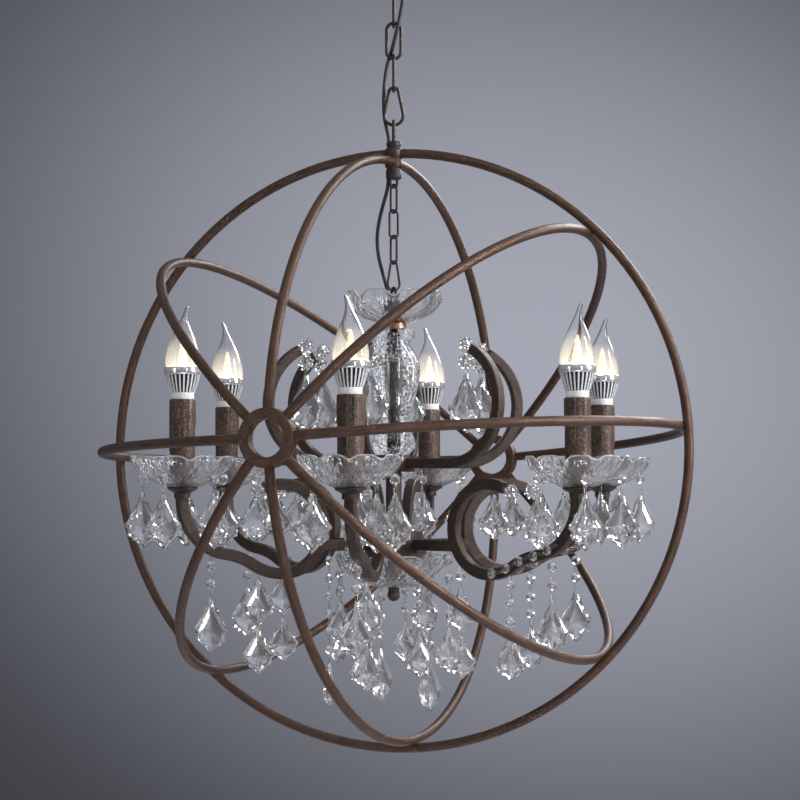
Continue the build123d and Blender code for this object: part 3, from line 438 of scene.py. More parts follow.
def end_copies(tree, copies, finish, result):
    """Make the copies real faces with a finish."""
    whole = tree.nodes.new("GeometryNodeRealizeInstances")
    dressed = tree.nodes.new("GeometryNodeSetMaterial")
    tree.links.new(copies.outputs["Instances"], whole.inputs["Geometry"])
    tree.links.new(whole.outputs["Geometry"], dressed.inputs["Geometry"])
    tree.links.new(finish, dressed.inputs["Material"])
    tree.links.new(dressed.outputs["Geometry"], result)


def placing_tree():
    """Sets copies of a piece on points that carry a turn and a size."""
    tree, start, end = group_tree(
        "set_in_place",
        [("Places", "NodeSocketGeometry"), ("Piece", "NodeSocketObject"), ("Finish", "NodeSocketMaterial")],
        [("Pieces", "NodeSocketGeometry")], "GeometryNodeTree")
    copies = copies_of(tree, start.outputs["Piece"], start.outputs["Places"])
    for label, kind, socket in (("turn", "QUATERNION", "Rotation"), ("size", "FLOAT_VECTOR", "Scale")):
        carried = tree.nodes.new("GeometryNodeInputNamedAttribute")
        carried.data_type = kind
        carried.inputs["Name"].default_value = label
        tree.links.new(carried.outputs["Attribute"], copies.inputs[socket])
    end_copies(tree, copies, start.outputs["Finish"], end.inputs["Pieces"])
    return tree


def finning_tree():
    """Copies of one fin round an axis."""
    tree, start, end = group_tree(
        "fins_round_axis",
        [("Fin", "NodeSocketObject"), ("Fins", "NodeSocketInt"), ("Finish", "NodeSocketMaterial")],
        [("Sink", "NodeSocketGeometry")], "GeometryNodeTree")
    points = tree.nodes.new("GeometryNodePoints")
    tree.links.new(start.outputs["Fins"], points.inputs["Count"])
    copies = copies_of(tree, start.outputs["Fin"], points.outputs["Points"])
    index = tree.nodes.new("GeometryNodeInputIndex")
    share = math(tree, "DIVIDE", index.outputs["Index"], start.outputs["Fins"])
    turn = tree.nodes.new("ShaderNodeCombineXYZ")
    tree.links.new(math(tree, "MULTIPLY", share, 2 * pi), turn.inputs["Z"])
    tree.links.new(turn.outputs["Vector"], copies.inputs["Rotation"])
    end_copies(tree, copies, start.outputs["Finish"], end.inputs["Sink"])
    return tree


PLACING = placing_tree()
FINNING = finning_tree()


def grown(name, start_mesh, tree, **inputs):
    """Run a Geometry Nodes tree on a mesh and keep the result as a plain mesh."""
    holder = bpy.data.objects.new(name, start_mesh)
    bpy.context.scene.collection.objects.link(holder)
    modifier = holder.modifiers.new(name, "NODES")
    modifier.node_group = tree
    sockets = {item.name: item.identifier for item in tree.interface.items_tree if item.in_out == "INPUT"}
    lent = []
    for label, value in inputs.items():
        if isinstance(value, bpy.types.Mesh):
            value = bpy.data.objects.new(name + "_source", value)
            bpy.context.scene.collection.objects.link(value)
            lent.append(value)
        modifier[sockets[label]] = value
    bpy.context.view_layer.update()
    shown = holder.evaluated_get(bpy.context.evaluated_depsgraph_get())
    made = bpy.data.meshes.new_from_object(shown)
    for spare in [holder] + lent:
        bpy.data.objects.remove(spare)
    made.name = name
    return made


def set_in_place(name, source, places, finish):
    """Copies of a mesh at each place, a matrix that turns, sizes and moves it."""
    points = bpy.data.meshes.new(name + "_places")
    points.from_pydata([tuple(place.to_translation()) for place in places], [], [])
    points.attributes.new("turn", "QUATERNION", "POINT")
    points.attributes.new("size", "FLOAT_VECTOR", "POINT")
    for k, place in enumerate(places):
        points.attributes["turn"].data[k].value = place.to_quaternion()
        points.attributes["size"].data[k].vector = place.to_scale()
    return grown(name, points, PLACING, Piece=source, Finish=finish)


# Places of the candles
CANDLES = [Vector((middle(f"lamp_{k}").x, middle(f"lamp_{k}").y, 0)) for k in LAMPS]


def at_candles(source, finish, name, turns):
    """One copy of a mesh at each candle, each turned by its own angle."""
    places = [Matrix.Translation(spot) @ Matrix.Rotation(turn, 4, "Z") for spot, turn in zip(CANDLES, turns)]
    return set_in_place(name, source, places, finish)


# Plain iron and other solids that keep their shape
FINISHES = {
    RUST_IRON: ["ceiling_canopy", "canopy_loop", "outer_ring", "vertical_ring", "right_ring", "equator_ring",
                "left_ring", "ring_bosses"],
    CHAIN_IRON: ["canopy_screws", "chain_link_1", "chain_link_2", "chain_link_3", "pear_link", "hub_eye",
                 "lower_eye", "inner_link_1", "inner_link_2", "inner_link_3", "inner_pear_link",
                 "column_loop"],
    DARK_IRON: ["mid_spindle", "arm_hub", "bottom_finial", "upper_scrolls", "column_rod"]
               + [f"arm_{k}" for k in LAMPS],
    COPPER: ["crown_washer"],
    ZINC: ["ceiling_bracket", "canopy_nut"],
    WHITE_PLASTIC: ["terminal_block", "lamp_sockets"],
    CORD_BLACK: ["cord_bush"],
}
for finish, dressed in FINISHES.items():
    for node in dressed:
        nodes[node].data.materials.clear()
        nodes[node].data.materials.append(finish)


# Power cords, their points repeated from the model's source in millimetres
CORD_D = 4.0 * MM
CORD_SIDES = 14
CORD_STEPS = 24
UPPER_CORD = (
    (12.0, -10.0, 192.0), (12.0, -10.0, 172.0), (10.0, -9.0, 154.0), (7.0, -7.0, 136.0),
    (2.5, -5.5, 117.0), (-2.5, 5.5, 99.0), (-7.5, 6.5, 84.0), (-10.0, 7.0, 66.0), (-11.0, 6.5, 46.0),
    (-10.5, 6.0, 29.0), (-7.6, 4.4, 15.0), (-5.0, 1.5, 4.0), (-5.0, 1.5, -8.0),
)
LOWER_CORD = (
    (-5.6, 0.9, 8.0), (-5.6, 0.9, -6.0), (-10.0, 2.2, -22.0), (-15.0, 3.4, -40.0), (-18.5, 4.0, -62.0),
    (-16.5, 3.6, -84.0), (-11.0, 2.4, -104.0), (-6.2, 0.2, -122.0), (-6.2, 0.2, -140.0),
)
UPPER_BODIES = ("ceiling", "link_1", "link_2", "link_3", "pear", "orb")
LOWER_BODIES = ("orb", "inner_1", "inner_2", "inner_3", "inner_pear", "chandelier")


def cord_line(name, route, z):
    """The cord's centreline, read from a smooth curve on the route's points."""
    curve = bpy.data.curves.new(name, "CURVE")
    curve.dimensions = "3D"
    curve.resolution_u = CORD_STEPS
    spline = curve.splines.new("NURBS")
    spline.points.add(len(route) - 1)
    for point, (x, y, height) in zip(spline.points, route):
        point.co = (x * MM, y * MM, height * MM + z, 1)
    spline.order_u = 3
    spline.use_endpoint_u = True
    holder = bpy.data.objects.new(name, curve)
    bpy.context.scene.collection.objects.link(holder)
    bpy.context.view_layer.update()
    mesh = bpy.data.meshes.new_from_object(holder.evaluated_get(bpy.context.evaluated_depsgraph_get()))
    line = [vertex.co.copy() for vertex in mesh.vertices]
    bpy.data.objects.remove(holder)
    return line


def cut_evenly(line, count):
    """Cut a line into stretches of equal length that share their ends."""
    reach = np.cumsum([0] + [(b - a).length for a, b in zip(line, line[1:])])
    stretches = []
    for k in range(count):
        low, high = reach[-1] * k / count, reach[-1] * (k + 1) / count
        inside = [p for p, at in zip(line, reach) if low < at < high]
        ends = []
        for at in (low, high):
            after = min(int(np.searchsorted(reach, at)), len(line) - 1)
            before = max(after - 1, 0)
            step = reach[after] - reach[before]
            ends.append(line[before].lerp(line[after], (at - reach[before]) / step if step else 0))
        stretches.append([ends[0]] + inside + [ends[1]])
    return stretches


def round_section(spot, across, other, diameter, sides):
    """Points of a round section at a spot, in the plane of two directions."""
    turns = [2 * pi * j / sides for j in range(sides)]
    return [spot + (across * cos(turn) + other * sin(turn)) * diameter / 2 for turn in turns]


def tube(name, line, diameter, sides):
    """A round tube along a line, with closed ends and a frame that doesn't twist."""
    points = []
    way = (line[1] - line[0]).normalized()
    across = way.orthogonal().normalized()
    for k, spot in enumerate(line):
        ahead = (line[min(k + 1, len(line) - 1)] - line[max(k - 1, 0)]).normalized()
        across = (across - ahead * across.dot(ahead)).normalized()
        points += round_section(spot, across, ahead.cross(across), diameter, sides)
    faces = [tuple(range(sides)), tuple(range(len(points) - sides, len(points)))]
    for k in range(len(line) - 1):
        for j in range(sides):
            after = (j + 1) % sides
            faces.append((k * sides + j, k * sides + after, (k + 1) * sides + after, (k + 1) * sides + j))
    return mesh_of(name, points, faces, True)


def power_cord(name, node, route, z, bodies):
    """A lead that follows the chain: one stretch across each joint."""
    stretches = cut_evenly(cord_line(name, route, z), len(bodies) - 1)
    for k, (line, above, below) in enumerate(zip(stretches, bodies, bodies[1:]), 1):
        made = bpy.data.objects.new(f"{name}_{k}", tube(f"{name}_{k}", line, CORD_D, CORD_SIDES))
        made.data.materials.append(CORD_BLACK)
        bpy.context.scene.collection.objects.link(made)
        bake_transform(made)
        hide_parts(node)


power_cord("upper_lead", "upper_cord", UPPER_CORD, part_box("orb_hub")[1].z, UPPER_BODIES)
power_cord("lower_lead", "lower_cord", LOWER_CORD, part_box("orb_hub")[0].z, LOWER_BODIES)


# Hub of the orb
HUB_SEGMENTS = 48
HUB_TURNING = (
    (0.0, 0.0), (6.6, 0.0), (8.2, 1.0), (8.5, 2.6), (8.5, 9.4), (7.7, 10.6), (7.7, 12.2),
    (9.0, 13.0), (9.5, 14.4), (9.5, 20.0), (8.8, 20.8), (8.8, 22.6), (9.5, 23.4), (9.5, 31.8),
    (9.0, 33.2), (7.2, 34.2), (7.2, 35.6), (8.0, 36.6), (8.0, 39.6), (7.2, 41.0), (0.0, 41.0),
)


def orb_hub():
    """The turned hub, with a groove each side of the rings."""
    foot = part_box("orb_hub")[0].z
    outline = [(r * MM, foot + h * MM) for r, h in HUB_TURNING]
    piece("turned_hub", lathe("turned_hub", outline, HUB_SEGMENTS), CHAIN_IRON, "orb", "rust_iron", "orb_hub")


orb_hub()


# Scalloped glass dishes
DISH_WALL = 2.4 * MM
DISH_SEGMENTS = 180
CUT_DEPTH = 1.1 * MM
RIM_BEAD = 1.5 * MM
RIM_SIDES = 6
RIM_OUT = 0.2 * MM
RIM_UP = 0.6 * MM
DISH_STEPS = 6
DIP_FROM = 0.35
FLUTED_SHARE = 0.6
CUT_WAVES = 1.5
CUT_SLANT = 10
CUT_START = 4


def hoop(name, line, diameter, sides):
    """A round edge along a closed line round Z."""
    points = []
    for k, spot in enumerate(line):
        ahead = (line[(k + 1) % len(line)] - line[k - 1]).normalized()
        across = Vector((spot.x, spot.y, 0)).normalized()
        across = (across - ahead * across.dot(ahead)).normalized()
        points += round_section(spot, across, ahead.cross(across), diameter, sides)
    return mesh_of(name, points, wrapped_faces(sides, len(line)), True)


def dish_mesh(name, outline, bore, lobes, scallop, flute, z):
    """A cut glass dish: a fluted wall that ends in a scalloped rim. The outline is the outside."""
    outside = smooth_line(outline, DISH_STEPS)
    last = len(outside) - 1
    inside = []
    for k, (radius, height) in enumerate(outside):
        share = k / last
        inside.append((radius - DISH_WALL * share, height + DISH_WALL * (1 - share)))
    floor_r, rim_r = outside[0][0], outside[-1][0]
    rim_h = outside[-1][1]
    rim = [((rim_r + inside[-1][0]) / 2 + RIM_OUT, rim_h + RIM_UP)]
    loop = [(bore, outside[0][1])] + outside + rim + inside[::-1] + [(bore, inside[0][1])]

    def cut(k, turn, radius, height):
        share = max(0.0, (radius - floor_r) / (rim_r - floor_r))
        wave = 0.5 + 0.5 * cos(lobes * turn)
        fluted = flute * share * (1 - wave) ** 2
        dip = scallop * wave**3 * max(0.0, (height / rim_h - DIP_FROM) / (1 - DIP_FROM))
        along, slant = CUT_WAVES * lobes * turn, CUT_SLANT * share
        crossing = abs(sin(along + slant) * sin(along - slant))
        cuts = CUT_DEPTH * min(1.0, CUT_START * share) * crossing if k <= last + 1 else 0
        return radius - fluted * FLUTED_SHARE - cuts, height - dip

    mesh = lathe(name, loop, DISH_SEGMENTS, cut, False)
    edge = []
    for j in range(DISH_SEGMENTS):
        turn = 2 * pi * j / DISH_SEGMENTS
        radius, height = cut(0, turn, rim_r - DISH_WALL / 2, rim_h)
        edge.append(Vector((radius * cos(turn), radius * sin(turn), height)))
    rim_bead = hoop(name + "_rim", edge, RIM_BEAD, RIM_SIDES)
    for made in (mesh, rim_bead):
        made.transform(Matrix.Translation((0, 0, z)))
    return mesh, rim_bead


def dish_outline(shares, rim, height):
    return [(r * rim, h * height) for r, h in shares]


# Outlines of the dishes, as shares of their rims and heights
BOBECHE_SHARES = ((0.28, 0.0), (0.52, 0.17), (0.74, 0.375), (0.9, 0.66), (1.0, 1.0))
CROWN_SHARES = ((0.226, 0.0), (0.43, 0.08), (0.64, 0.2), (0.84, 0.4), (0.94, 0.7), (1.0, 1.0))
BOTTOM_SHARES = ((0.317, 0.0), (0.52, 0.12), (0.7, 0.31), (0.87, 0.62), (1.0, 1.0))
BOBECHE_RIM = 54.0 * MM
CROWN_RIM = 53.0 * MM
BOTTOM_RIM = 63.0 * MM
# Lobes of each rim, and how deep its scallops and flutes are
BOBECHE_CUT = (10, 4.5 * MM, 3.0 * MM)
CROWN_CUT = (8, 8.0 * MM, 5.0 * MM)
BOTTOM_CUT = (12, 4.5 * MM, 4.0 * MM)
BOBECHE_TURN = 0.3
ROD_BORE = 5.0 * MM
NIPPLE_BORE = 5.1 * MM


def height_of(node):
    low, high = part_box(node)
    return low.z, high.z - low.z


def glass_dishes():
    z, tall = height_of("bobeches")
    outline = dish_outline(BOBECHE_SHARES, BOBECHE_RIM, tall)
    bowl, edge = dish_mesh("bobeche", outline, NIPPLE_BORE, *BOBECHE_CUT, z)
    turns = [BOBECHE_TURN * k for k in LAMPS]
    bowls = at_candles(bowl, DISH_GLASS, "glass_bobeches", turns)
    piece("glass_bobeches", bowls, DISH_GLASS, "chandelier", "cut_glass", "bobeches")
    edges = at_candles(edge, RIM_GLASS, "bobeche_rims", turns)
    piece("bobeche_rims", edges, RIM_GLASS, "chandelier", "cut_glass", "bobeches")
    for node, label, shares, rim, cut in (
            ("crown_dish", "glass_crown", CROWN_SHARES, CROWN_RIM, CROWN_CUT),
            ("bottom_dish", "glass_bottom", BOTTOM_SHARES, BOTTOM_RIM, BOTTOM_CUT)):
        z, tall = height_of(node)
        bowl, edge = dish_mesh(label, dish_outline(shares, rim, tall), ROD_BORE, *cut, z)
        piece(label, bowl, DISH_GLASS, "chandelier", "cut_glass", node)
        piece(label + "_rim", edge, RIM_GLASS, "chandelier", "cut_glass", node)


glass_dishes()


# Glass column
COLUMN_SEGMENTS = 84
COLUMN_STEPS = 8
PEBBLE_RISE = 0.3 * MM
PEBBLE_SEED = 11
COLUMN_OUTSIDE = ((22.5, 1.0), (22.5, 0.925), (19.5, 0.915), (18.0, 0.86), (28.5, 0.71), (26.0, 0.53),
                  (17.0, 0.27), (24.0, 0.09), (16.0, 0.0))
COLUMN_INSIDE = ((8.0, 0.0), (17.0, 0.1), (12.0, 0.27), (20.5, 0.53), (23.0, 0.71), (14.0, 0.84), (8.0, 0.92),
                 (8.0, 1.0))


def glass_column():
    z, tall = height_of("column_glass")
    flange = [(r * MM, h * tall) for r, h in COLUMN_OUTSIDE[:3]]
    belly = smooth_line([(r * MM, h * tall) for r, h in COLUMN_OUTSIDE[2:]], COLUMN_STEPS)
    cavity = smooth_line([(r * MM, h * tall) for r, h in COLUMN_INSIDE], COLUMN_STEPS)
    outer = len(flange) + len(belly)
    chance = np.random.default_rng(PEBBLE_SEED)

    def pebbled(k, turn, radius, height):
        if len(flange) < k < outer - 1:
            radius -= PEBBLE_RISE * chance.random()
        return radius, height + z

    mesh = lathe("crackled_column", flange + belly[1:] + cavity, COLUMN_SEGMENTS, pebbled, False)
    piece("crackled_column", mesh, CRACKLE_GLASS, "chandelier", "cut_glass", "column_glass")


glass_column()


# Clear baluster inside the column, over the tie rod
BALUSTER_SEGMENTS = 48
BALUSTER = ((6.4, 0.97), (7.4, 0.88), (10.2, 0.71), (9.0, 0.5), (6.4, 0.3), (7.4, 0.1), (6.4, 0.02))
BALUSTER_BORE = 5.0 * MM


def clear_baluster():
    z, tall = height_of("column_glass")
    outer = smooth_line([(r * MM, z + h * tall) for r, h in BALUSTER], COLUMN_STEPS)
    outline = outer + [(BALUSTER_BORE, outer[-1][1]), (BALUSTER_BORE, outer[0][1])]
    mesh = lathe("clear_baluster", outline, BALUSTER_SEGMENTS)
    piece("clear_baluster", mesh, BALUSTER_GLASS, "chandelier", "cut_glass", "column_glass")


clear_baluster()


# Candle sleeves with run wax
SLEEVE_SEGMENTS = 120
SLEEVE_RINGS = 60
SLEEVE_R = 12.9 * MM
SLEEVE_BORE = 12.25 * MM
SLEEVE_TURN = 1.9
LIP_WIDE = 0.5 * MM
LIP_DROP = 0.4 * MM
# Drips of wax: direction in radians, length as a share of the sleeve, half width in radians
DRIPS = ((0.4, 0.55, 0.28), (1.5, 0.32, 0.2), (2.4, 0.72, 0.24), (3.3, 0.4, 0.3), (4.3, 0.62, 0.22),
         (5.4, 0.26, 0.26))
DRIP_RISE = 0.8 * MM
DRIP_END = 0.3
DRIP_STEEPNESS = 3
DIMPLE_RISE = 0.12 * MM
EDGE_EASE = 0.8 * MM
EDGE_SHARE = 0.02


def candle_sleeves():
    """Card candles: a dimpled wall with raised drips that run down from the top."""
    z, tall = height_of("candle_sleeves")
    wall = [(SLEEVE_R, tall * k / SLEEVE_RINGS) for k in range(SLEEVE_RINGS + 1)]
    top = [(SLEEVE_R - LIP_WIDE, tall), (SLEEVE_BORE, tall - LIP_DROP), (SLEEVE_BORE, 0.0)]

    def dripped(k, turn, radius, height):
        if k > SLEEVE_RINGS:
            return radius, z + height
        down = 1 - height / tall
        swell = DIMPLE_RISE * sin(5 * turn + 40 * down) * sin(9 * turn - 23 * down)
        for at, length, width in DRIPS:
            off = abs((turn - at + pi) % (2 * pi) - pi) / width
            end = max(0.0, (down - length) / (width * DRIP_END) + 1)
            inside = DRIP_STEEPNESS * (1 - off**2 - end**2)
            swell = max(swell, DRIP_RISE * min(1.0, max(0.0, inside)) if off < 1 else 0)
        ease = EDGE_EASE * max(0.0, 1 - down / EDGE_SHARE) ** 2
        return radius + swell - ease, z + height

    sleeve = lathe("sleeve", wall + top, SLEEVE_SEGMENTS, dripped)
    sleeves = at_candles(sleeve, CANDLE_BROWN, "wax_sleeves", [SLEEVE_TURN * k for k in LAMPS])
    piece("wax_sleeves", sleeves, CANDLE_BROWN, "chandelier", "candle", "candle_sleeves")


candle_sleeves()


# Lamps
FIN_COUNT = 24
FIN_THICK = 1.5 * MM
FIN_ROOT = 6.0 * MM
FLARE_OUT = 1.6 * MM
FLARE_UP = 2.0 * MM
GROOVE = 0.9 * MM
THREAD_RINGS = 28
THREAD_RISE = 0.35 * MM
THREAD_PITCH = 2.5 * MM
THREAD_SINK = 0.4 * MM
EDGE_ROUND = 0.6 * MM
BAND_LAP = 0.8 * MM
LAMP_SEGMENTS = 64
CAP_R = 7.0 * MM
COLLAR_R = 11.7 * MM
SINK_R = 18.0 * MM
RIM_R = 19.0 * MM
CAP_TALL = 25.0 * MM
COLLAR_TALL = 13.3 * MM
SINK_TALL = 19.5 * MM
RIM_TALL = 7.0 * MM
# The flame bulb in millimetres: radius, height and how far the tip leans
FLAME = (
    (17.6, 0.0, 0.0), (18.2, 5.0, 0.0), (17.4, 13.0, 0.0), (14.9, 23.0, 0.0), (11.0, 33.0, 0.2),
    (7.4, 41.0, 0.5), (4.6, 48.5, 1.4), (3.3, 54.0, 2.5), (2.7, 58.5, 3.6), (2.2, 62.0, 4.8),
    (1.2, 63.7, 5.4), (0.0, 64.0, 5.5),
)
FLAME_WALL = 1.0
FLAME_STEPS = 4
LEANS = (200.0, 30.0, 20.0, 190.0, 175.0, 10.0)
GUIDE = ((0.0, 0.0), (6.8, 0.0), (6.8, 3.0), (4.8, 6.0), (5.4, 9.0), (3.8, 13.0), (4.2, 16.0), (2.8, 20.0),
         (3.1, 23.0), (1.8, 27.0), (0.9, 30.0), (0.0, 30.5))
GUIDE_SIDES = 12
POOL = ((0.0, 0.1), (16.2, 0.1), (15.4, 1.6), (0.0, 2.6))
GUIDE_REACH = 30 * MM
GLOW_REACH = 40 * MM
FLICKER_SCALE = 160.0
FLICKER_REACH = 8 * MM
GLASS_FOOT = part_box("lamp_1")[0].z + CAP_TALL + COLLAR_TALL + SINK_TALL + RIM_TALL


def lit(name, reach, tones, strength):
    """A lit finish, its tone running from the foot of the bulb up to the reach of the light."""
    made, tree, shader = material(name)
    where = tree.nodes.new("ShaderNodeTexCoord").outputs["Object"]
    parts = tree.nodes.new("ShaderNodeSeparateXYZ")
    tree.links.new(where, parts.inputs["Vector"])
    flicker = math(tree, "MULTIPLY", noise(tree, where, FLICKER_SCALE, 2.0, 0.5), FLICKER_REACH)
    height = math(tree, "ADD", parts.outputs["Z"], flicker)
    rise = spread(tree, height, GLASS_FOOT, GLASS_FOOT + reach, 0.0, 1.0)
    tone = mix(tree, rise, *((*tone, 1) for tone in tones))
    tree.links.new(tone, shader.inputs["Emission Color"])
    shader.inputs["Emission Strength"].default_value = strength
    return made, shader


def lit_guide(name, tones, strength):
    made, shader = lit(name, GUIDE_REACH, tones, strength)
    shader.inputs["Base Color"].default_value = (0.9, 0.8, 0.6, 1)
    shader.inputs["Roughness"].default_value = 0.3
    return made


def lit_glass(name):
    """Clear bulb glass, glowing from its foot, with a painted white highlight along its edges."""
    made, shader = lit(name, GLOW_REACH, ((1.0, 0.84, 0.58), (0.0, 0.0, 0.0)), 0.24)
    tree = made.node_tree
    tone = shader.inputs["Emission Color"].links[0].from_socket
    # Painted highlight: the glow turns white where the faces turn from the eye.
    painted_edge_highlight = mix(tree, edge_share(tree, 0.7, 1.0), tone, (1.0, 1.0, 1.0, 1))
    tree.links.new(painted_edge_highlight, shader.inputs["Emission Color"])
    shader.inputs["Base Color"].default_value = (0.99, 0.99, 0.99, 1)
    shader.inputs["Roughness"].default_value = 0.0
    shader.inputs["IOR"].default_value = 1.3
    shader.inputs["Transmission Weight"].default_value = 1
    return made


GLOW = lit_guide("lamp_glow", ((1.0, 0.9, 0.7), (1.0, 0.78, 0.48)), 0.5)
GLOW_FLOOR = lit_guide("lamp_floor", ((1.0, 0.93, 0.8), (1.0, 0.8, 0.5)), 0.8)
FLAME_GLASS = lit_glass("flame_glass")


def flame_mesh(base):
    """The bent flame bulb, blown thin."""
    line = smooth_line(FLAME, FLAME_STEPS)
    inner = [(max(0.0, r - FLAME_WALL), h - (FLAME_WALL if r < 1 else 0), lean) for r, h, lean in line]
    shell = line + inner[::-1]
    points = []
    for j in range(LAMP_SEGMENTS):
        turn = 2 * pi * j / LAMP_SEGMENTS
        for r, h, lean in shell:
            points.append(((lean + r * cos(turn)) * MM, r * sin(turn) * MM, base + h * MM))
    return mesh_of("flame", points, wrapped_faces(len(shell), LAMP_SEGMENTS), True)


def fin_mesh(foot):
    """One fin of the heat sink, thin, with a flared outer edge."""
    half = FIN_THICK / 2
    outline = ((FIN_ROOT, 0.0), (COLLAR_R, 0.0), (COLLAR_R + FLARE_OUT, FLARE_UP),
               (SINK_R - 1.0 * MM, SINK_TALL * 0.72), (SINK_R, SINK_TALL), (FIN_ROOT, SINK_TALL))
    points = [(x, side * half, foot + h) for side in (-1, 1) for x, h in outline]
    count = len(outline)
    faces = [tuple(range(count)), tuple(range(count, 2 * count))]
    for k in range(count):
        after = (k + 1) % count
        faces.append((k, after, count + after, count + k))
    return mesh_of("fin", points, faces, False)


def lamp_parts():
    """The lamp's pieces round Z: name, mesh and finish."""
    rim = GLASS_FOOT - RIM_TALL
    sink = rim - SINK_TALL
    collar = sink - COLLAR_TALL
    foot = collar - CAP_TALL

    tip = [(0.0, foot), (2.0 * MM, foot), (4.5 * MM, foot + 3 * MM)]

    def threaded(k, turn, radius, height):
        if len(tip) < k < len(tip) + THREAD_RINGS - 1:
            radius += THREAD_RISE * cos(turn + 2 * pi * height / THREAD_PITCH)
        return radius, height

    cap_r = CAP_R - THREAD_SINK
    thread = [(cap_r, foot + CAP_TALL * (0.2 + 0.75 * k / THREAD_RINGS)) for k in range(THREAD_RINGS + 1)]
    cap = tip + thread + [(cap_r, collar), (0.0, collar)]
    neck = [(0.0, collar), (COLLAR_R - EDGE_ROUND, collar), (COLLAR_R, collar + EDGE_ROUND),
            (COLLAR_R, sink - 1 * MM), (COLLAR_R + 0.5 * MM, sink), (0.0, sink)]
    # The core shows in the gaps between the fins; its near-black finish is painted shade.
    core = [(0.0, sink), (COLLAR_R - GROOVE, sink), (COLLAR_R + FLARE_OUT - GROOVE, sink + FLARE_UP),
            (SINK_R - GROOVE, rim), (0.0, rim)]
    band = [(0.0, rim - BAND_LAP), (RIM_R - 0.4 * MM, rim - BAND_LAP), (RIM_R, rim),
            (RIM_R, GLASS_FOOT - EDGE_ROUND), (RIM_R - 0.5 * MM, GLASS_FOOT), (0.0, GLASS_FOOT)]
    guide = [(r * MM, GLASS_FOOT + h * MM) for r, h in GUIDE]
    pool = [(r * MM, GLASS_FOOT + h * MM) for r, h in POOL]
    fins = grown("fins", bpy.data.meshes.new("fins_start"), FINNING, Fin=fin_mesh(sink), Fins=FIN_COUNT,
                 Finish=SINK_METAL)
    return [
        ("cap", lathe("cap", cap, LAMP_SEGMENTS, threaded), CAP_BRASS),
        ("collar", lathe("collar", neck, LAMP_SEGMENTS), WHITE_PLASTIC),
        ("sink", fins, SINK_METAL),
        ("core", lathe("core", core, LAMP_SEGMENTS), SINK_PAINTED_SHADE),
        ("band", lathe("band", band, LAMP_SEGMENTS), BAND_METAL),
        ("glow", lathe("guide", guide, GUIDE_SIDES, smooth=False), GLOW),
        ("pool", lathe("pool", pool, LAMP_SEGMENTS), GLOW_FLOOR),
        ("flame", flame_mesh(GLASS_FOOT), FLAME_GLASS),
    ]


def lamps():
    parts = lamp_parts()
    for k, spot, lean in zip(LAMPS, CANDLES, LEANS):
        place = Matrix.Translation(spot) @ Matrix.Rotation(radians(lean), 4, "Z")
        for part, mesh, finish in parts:
            copy = mesh.copy()
            copy.transform(place)
            piece(f"lamp_{k}_{part}", copy, finish, f"lamp_{k}", "lamp", f"lamp_{k}")


lamps()


# Cut stones, drawn across X, thick in Y and hanging down Z
def cut_stone(name, outline, centre, rings):
    """A stone cut alike on both faces: rings of facets step in from its outline to a table."""
    count = len(outline)
    points = [(x, 0.0, z) for x, z in outline]
    faces = []
    for side in (1, -1):
        before = list(range(count))
        offset = False
        for scale, depth in rings:
            offset = not offset
            ring = []
            for k in range(count):
                x, z = outline[k]
                if offset:
                    x = (x + outline[(k + 1) % count][0]) / 2
                    z = (z + outline[(k + 1) % count][1]) / 2
                ring.append(len(points))
                points.append((x * scale, side * depth, centre + (z - centre) * scale))
            for k in range(count):
                after = (k + 1) % count
                if offset:
                    faces.append((before[k], before[after], ring[k]))
                    faces.append((ring[k], before[after], ring[after]))
                else:
                    faces.append((before[k], ring[after], ring[k]))
                    faces.append((before[k], before[after], ring[after]))
            before = ring
        faces.append(tuple(before))
    return mesh_of(name, points, faces, False)


# Rings of facets, as shares of the outline and of the thickness
BEAD_RINGS = ((0.82, 0.3), (0.5, 0.5))
ROSETTE_RINGS = ((0.8, 0.3), (0.45, 0.22), (0.3, 0.5))
BEAD_SIDES = 8
ROSETTE_SIDES = 32
PETAL_PAIRS = 4
PETAL_DEPTH = 0.28


def bead_mesh():
    """An octagon bead, one unit across and thick."""
    turns = [2 * pi * (k + 0.5) / BEAD_SIDES for k in range(BEAD_SIDES)]
    outline = [(0.5 * sin(turn), 0.5 * cos(turn)) for turn in turns]
    return cut_stone("bead", outline, 0.0, BEAD_RINGS)


# The drop: half of its outline, the corners of its large facets, its edge step and its rings
DROP_HALF = (
    (0.035, 0.0), (0.075, -0.06), (0.11, -0.15), (0.19, -0.22), (0.23, -0.31), (0.33, -0.39),
    (0.38, -0.48), (0.48, -0.545), (0.5, -0.61), (0.41, -0.665), (0.43, -0.735), (0.41, -0.79),
    (0.3, -0.815), (0.28, -0.865), (0.17, -0.885), (0.11, -0.95),
)
DROP_CORNERS = (0, 5, 8, 11, 14, 16, 18, 21, 24, 27, 32)
DROP_STEP = (0.87, 0.2)
DROP_RINGS = ((0.7, 0.33), (0.4, 0.45), (0.14, 0.5))
DROP_MIDDLE = -0.6


